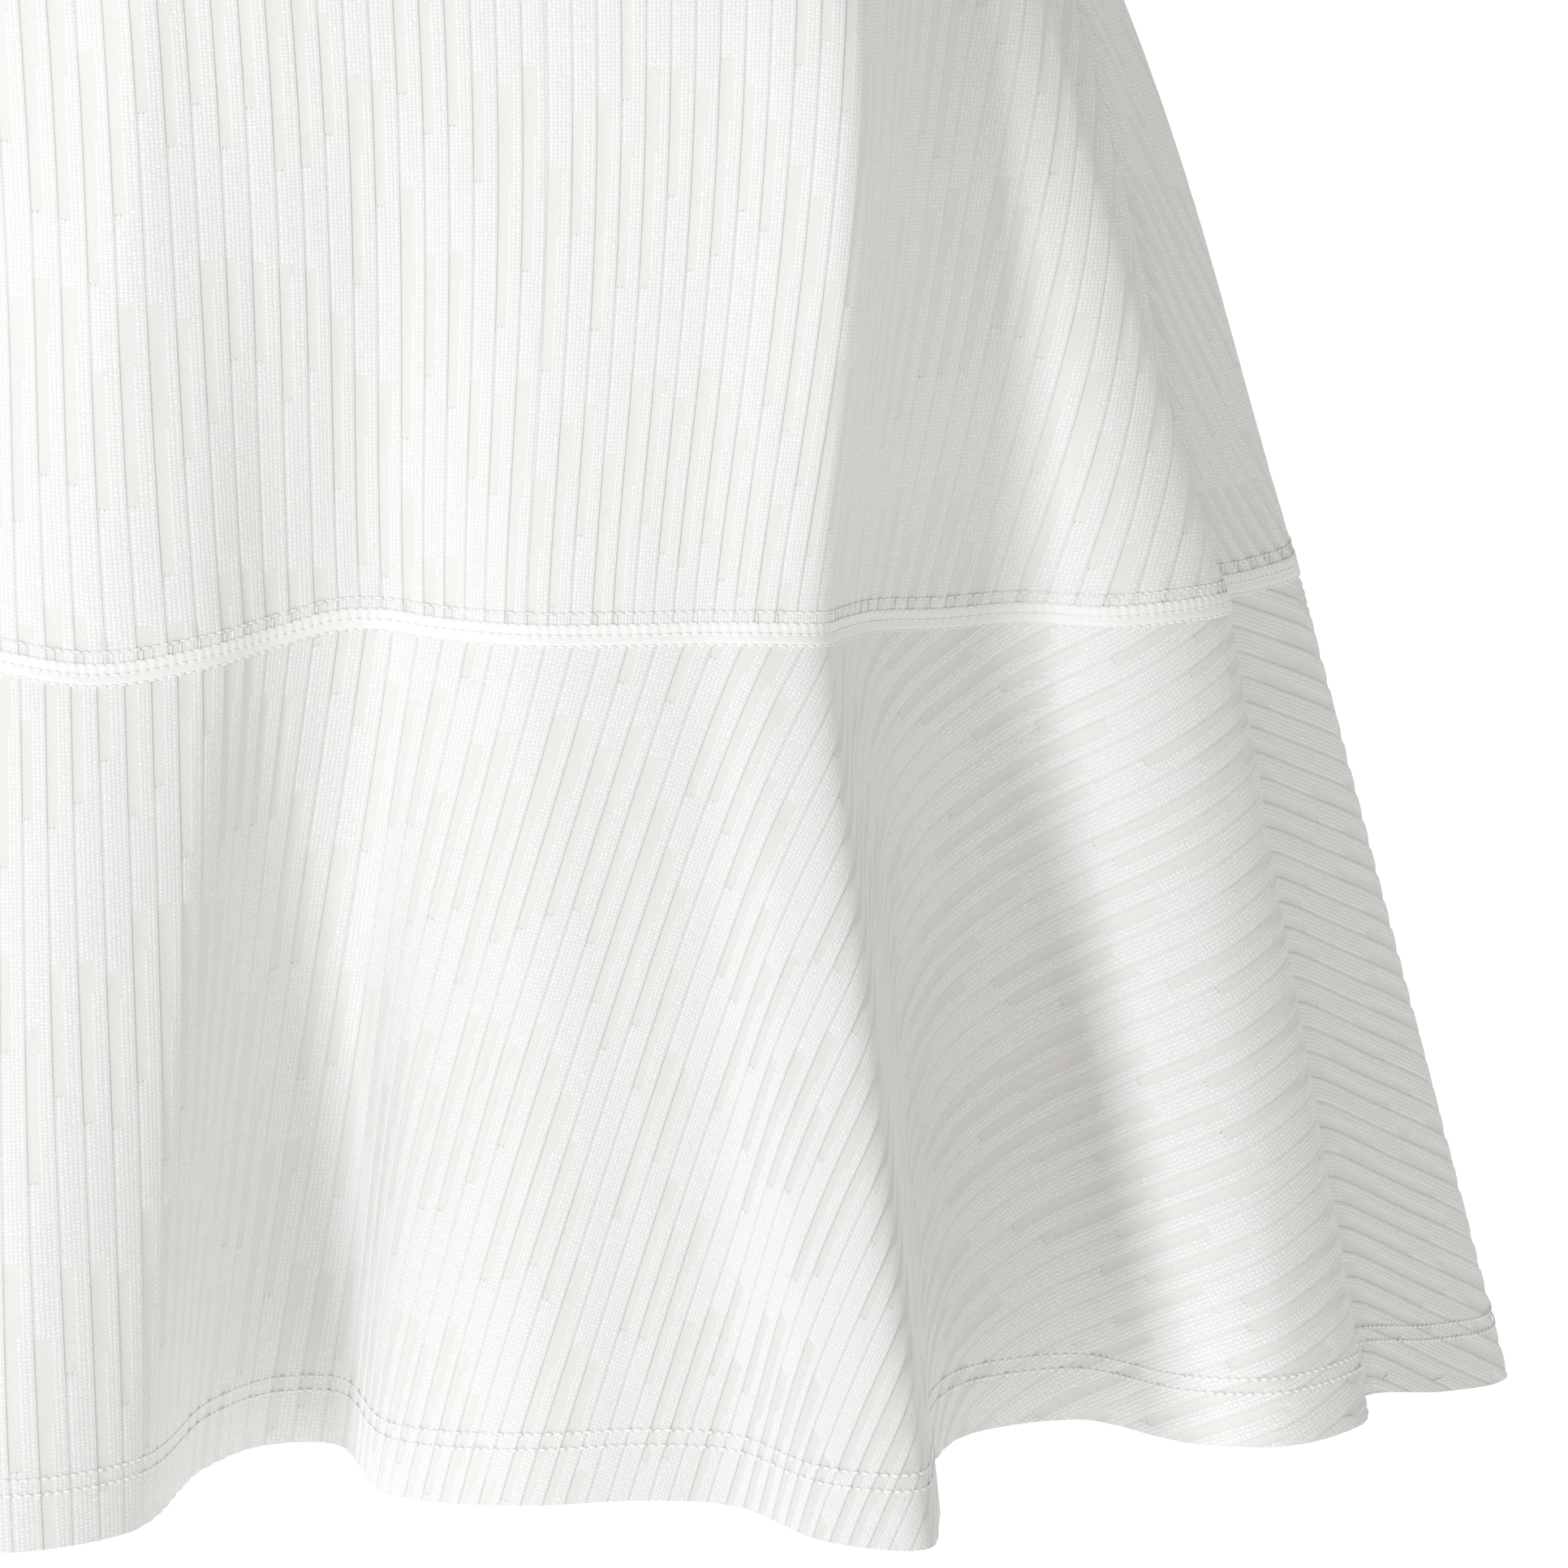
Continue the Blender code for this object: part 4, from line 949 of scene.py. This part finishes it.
def stitches(sheet, runs, radius, arch):
    """Points and faces of short threads, each from one (u, depth) of the sheet to another."""
    starts, outward = sheet.at(runs[:, 0], runs[:, 1])
    ends, _ = sheet.at(runs[:, 2], runs[:, 3])
    along = ends - starts
    across = np.cross(along, outward)
    across /= np.linalg.norm(across, axis=1, keepdims=True)
    turns = np.arange(THREAD_SIDES) * math.tau / THREAD_SIDES
    rings = []
    for share, thickness in THREAD_RINGS:
        centre = starts + along * share + outward * arch * math.sin(math.pi * share)
        rings.append(centre[:, None] + radius * thickness
                     * (across[:, None] * np.cos(turns)[:, None]
                        + outward[:, None] * np.sin(turns)[:, None] * THREAD_FLATNESS))
    points = np.stack(rings, axis=1).reshape(-1, 3)
    pattern = []
    for ring in range(len(THREAD_RINGS) - 1):
        for k in range(THREAD_SIDES):
            low, high = ring * THREAD_SIDES, (ring + 1) * THREAD_SIDES
            following = (k + 1) % THREAD_SIDES
            pattern.append((low + k, low + following, high + following, high + k))
    first = tuple(range(THREAD_SIDES))[::-1]
    last = tuple(len(THREAD_RINGS) * THREAD_SIDES - 1 - k for k in range(THREAD_SIDES))[::-1]
    size = len(THREAD_RINGS) * THREAD_SIDES
    faces = [[start + k for k in face]
             for start in range(0, len(points), size) for face in (*pattern, first, last)]
    return points, faces


def sew(name, groups):
    """Put a piece of thread in the scene, made of several groups of points and faces."""
    points, faces, start = [], [], 0
    for group_points, group_faces in groups:
        points.append(group_points)
        faces += [[start + k for k in face] for face in group_faces]
        start += len(group_points)
    mesh = bpy.data.meshes.new(name)
    mesh.from_pydata(np.concatenate(points).tolist(), [], faces)
    mesh.shade_smooth()
    add_piece(name, mesh, (thread,))


def stitch_row(sheet, depth, fill):
    """Where the stitches of one row start and end, each filling part of its length."""
    count = int(2 * SEWN_SHARE * sheet.half_width(depth) / STITCH_LENGTH)
    starts = np.linspace(-SEWN_SHARE, SEWN_SHARE, count + 1)[:-1]
    reach = 2 * SEWN_SHARE / count * fill
    return np.stack([starts, np.full(count, depth), starts + reach, np.full(count, depth)], -1)


def bars(row, other_depth):
    """Threads that run straight down from each stitch of a row to the next row."""
    below = np.full(len(row), other_depth)
    return np.stack([row[:, 0], row[:, 1], row[:, 0], below], -1)


def looper_cover(sheet):
    """The close cover of looper threads, a thin strip that waves with each stitch."""
    depths, lifts = (np.array(column) * MM for column in zip(*COVER_LIFTS))
    count = int(2 * sheet.half_width(SEAM_DEPTH) / STITCH_LENGTH) * COVER_POINTS
    u = np.linspace(-1, 1, count + 1)
    turns = np.arange(count + 1) * math.tau / COVER_POINTS
    wave = COVER_WAVE * np.sin(turns) * np.ones((len(depths), 1))
    wave[(depths < depths[1]) | (depths > CORD_DEPTH)] = 0
    points, _ = sheet.at(u, SEAM_DEPTH + depths[:, None], lifts[:, None] + wave)
    at = np.arange(points.shape[0] * points.shape[1]).reshape(points.shape[:2])
    return points.reshape(-1, 3), cells(at).tolist()


for side, sheet in (("front", front), ("back", back)):
    rows = [stitch_row(sheet, SEAM_DEPTH + row, FLATLOCK_FILL) for row in FLATLOCK_ROWS]
    groups = [stitches(sheet, row, FLATLOCK_RADIUS, FLATLOCK_ARCH) for row in rows]
    groups.append(stitches(sheet, bars(rows[0], rows[1][0, 1]), BAR_RADIUS, BAR_ARCH))
    groups.append(looper_cover(sheet))
    sew(f"{side}_flatlock_seam", groups)

# ---------------------------------------------------------------------------------------
# Hem stitching
# The hem is turned up once and held by a twin-needle coverstitch in the same thread, its two
# rows 12 and 15.3 mm above the edge.
# ---------------------------------------------------------------------------------------
HEM_DEPTH = SEAM_DEPTH + FLOUNCE_LENGTH
HEM_ROWS = (12.0 * MM, 15.3 * MM)
HEM_FILL = 0.65
HEM_RADIUS, HEM_ARCH = 0.36 * MM, 0.10 * MM

for side, sheet in (("front", front), ("back", back)):
    rows = [stitch_row(sheet, HEM_DEPTH - row, HEM_FILL) for row in HEM_ROWS]
    sew(f"{side}_hem_stitching", [stitches(sheet, row, HEM_RADIUS, HEM_ARCH) for row in rows])

# ---------------------------------------------------------------------------------------
# Studio
# A plain white floor, one soft light from the left front and an even white surround. The
# camera is in front of the skirt, a little above it, and frames its +X half.
# ---------------------------------------------------------------------------------------
FLOOR_LEVEL = -1.35
FLOOR_REACH = 9                   # from the middle to each side
FLOOR_COLOUR, FLOOR_GLOW_COLOUR = "#F2F2F2", "#FFFFFF"
FLOOR_GLOW = 0.62
SURROUND_COLOUR = "#FFFDF8"
SURROUND_STRENGTH = 0.47
LIGHT_PLACE = (-2.15, -2.80, 0.5)
LIGHT_TARGET = (0.05, 0, -0.65)
LIGHT_SIZE = 0.7
LIGHT_POWER = 58
LIGHT_COLOUR = "#FBFCFF"
CAMERA_PLACE = (0.0042722, -2.6292459, -0.0920031)
CAMERA_TARGET = (0.13755, -0.11, -0.721)
CAMERA_LENS = 276.84
CAMERA_SENSOR = 36.0
CAMERA_REACH = 50

floor_corners = [(across * FLOOR_REACH, away * FLOOR_REACH, FLOOR_LEVEL)
                 for across, away in ((-1, -1), (1, -1), (1, 1), (-1, 1))]
floor_mesh = bpy.data.meshes.new("floor")
floor_mesh.from_pydata(floor_corners, [], [(0, 1, 2, 3)])
floor = bpy.data.objects.new("floor", floor_mesh)
bpy.context.scene.collection.objects.link(floor)
floor_paint, _, _ = start_material("white_studio_floor", {
    "Base Color": linear(FLOOR_COLOUR), "Roughness": 0.9, "Specular IOR Level": 0.0,
    "Emission Color": linear(FLOOR_GLOW_COLOUR), "Emission Strength": FLOOR_GLOW})
floor_mesh.materials.append(floor_paint)

world = bpy.data.worlds.new("white_surround")
bpy.context.scene.world = world
world.use_nodes = True
world.node_tree.nodes["Background"].inputs["Color"].default_value = linear(SURROUND_COLOUR)
world.node_tree.nodes["Background"].inputs["Strength"].default_value = SURROUND_STRENGTH


def set_up(name, data, place, target):
    """Put a light or a camera in its place, facing the target."""
    thing = bpy.data.objects.new(name, data)
    bpy.context.scene.collection.objects.link(thing)
    thing.location = place
    from_to = np.array(target) - np.array(thing.location)
    flat_length = math.hypot(from_to[0], from_to[1])
    thing.rotation_euler = (math.pi / 2 + math.atan2(from_to[2], flat_length), 0,
                            math.atan2(-from_to[0], from_to[1]))
    return thing


lamp = bpy.data.lights.new("key_light", "AREA")
lamp.size = LIGHT_SIZE
lamp.energy = LIGHT_POWER
lamp.color = linear(LIGHT_COLOUR)[:3]
set_up("key_light", lamp, LIGHT_PLACE, LIGHT_TARGET)

camera_data = bpy.data.cameras.new("camera")
camera_data.lens = CAMERA_LENS
camera_data.sensor_width = CAMERA_SENSOR
camera_data.clip_end = CAMERA_REACH
bpy.context.scene.camera = set_up("camera", camera_data, CAMERA_PLACE, CAMERA_TARGET)
bpy.context.scene.view_settings.view_transform = "Standard"
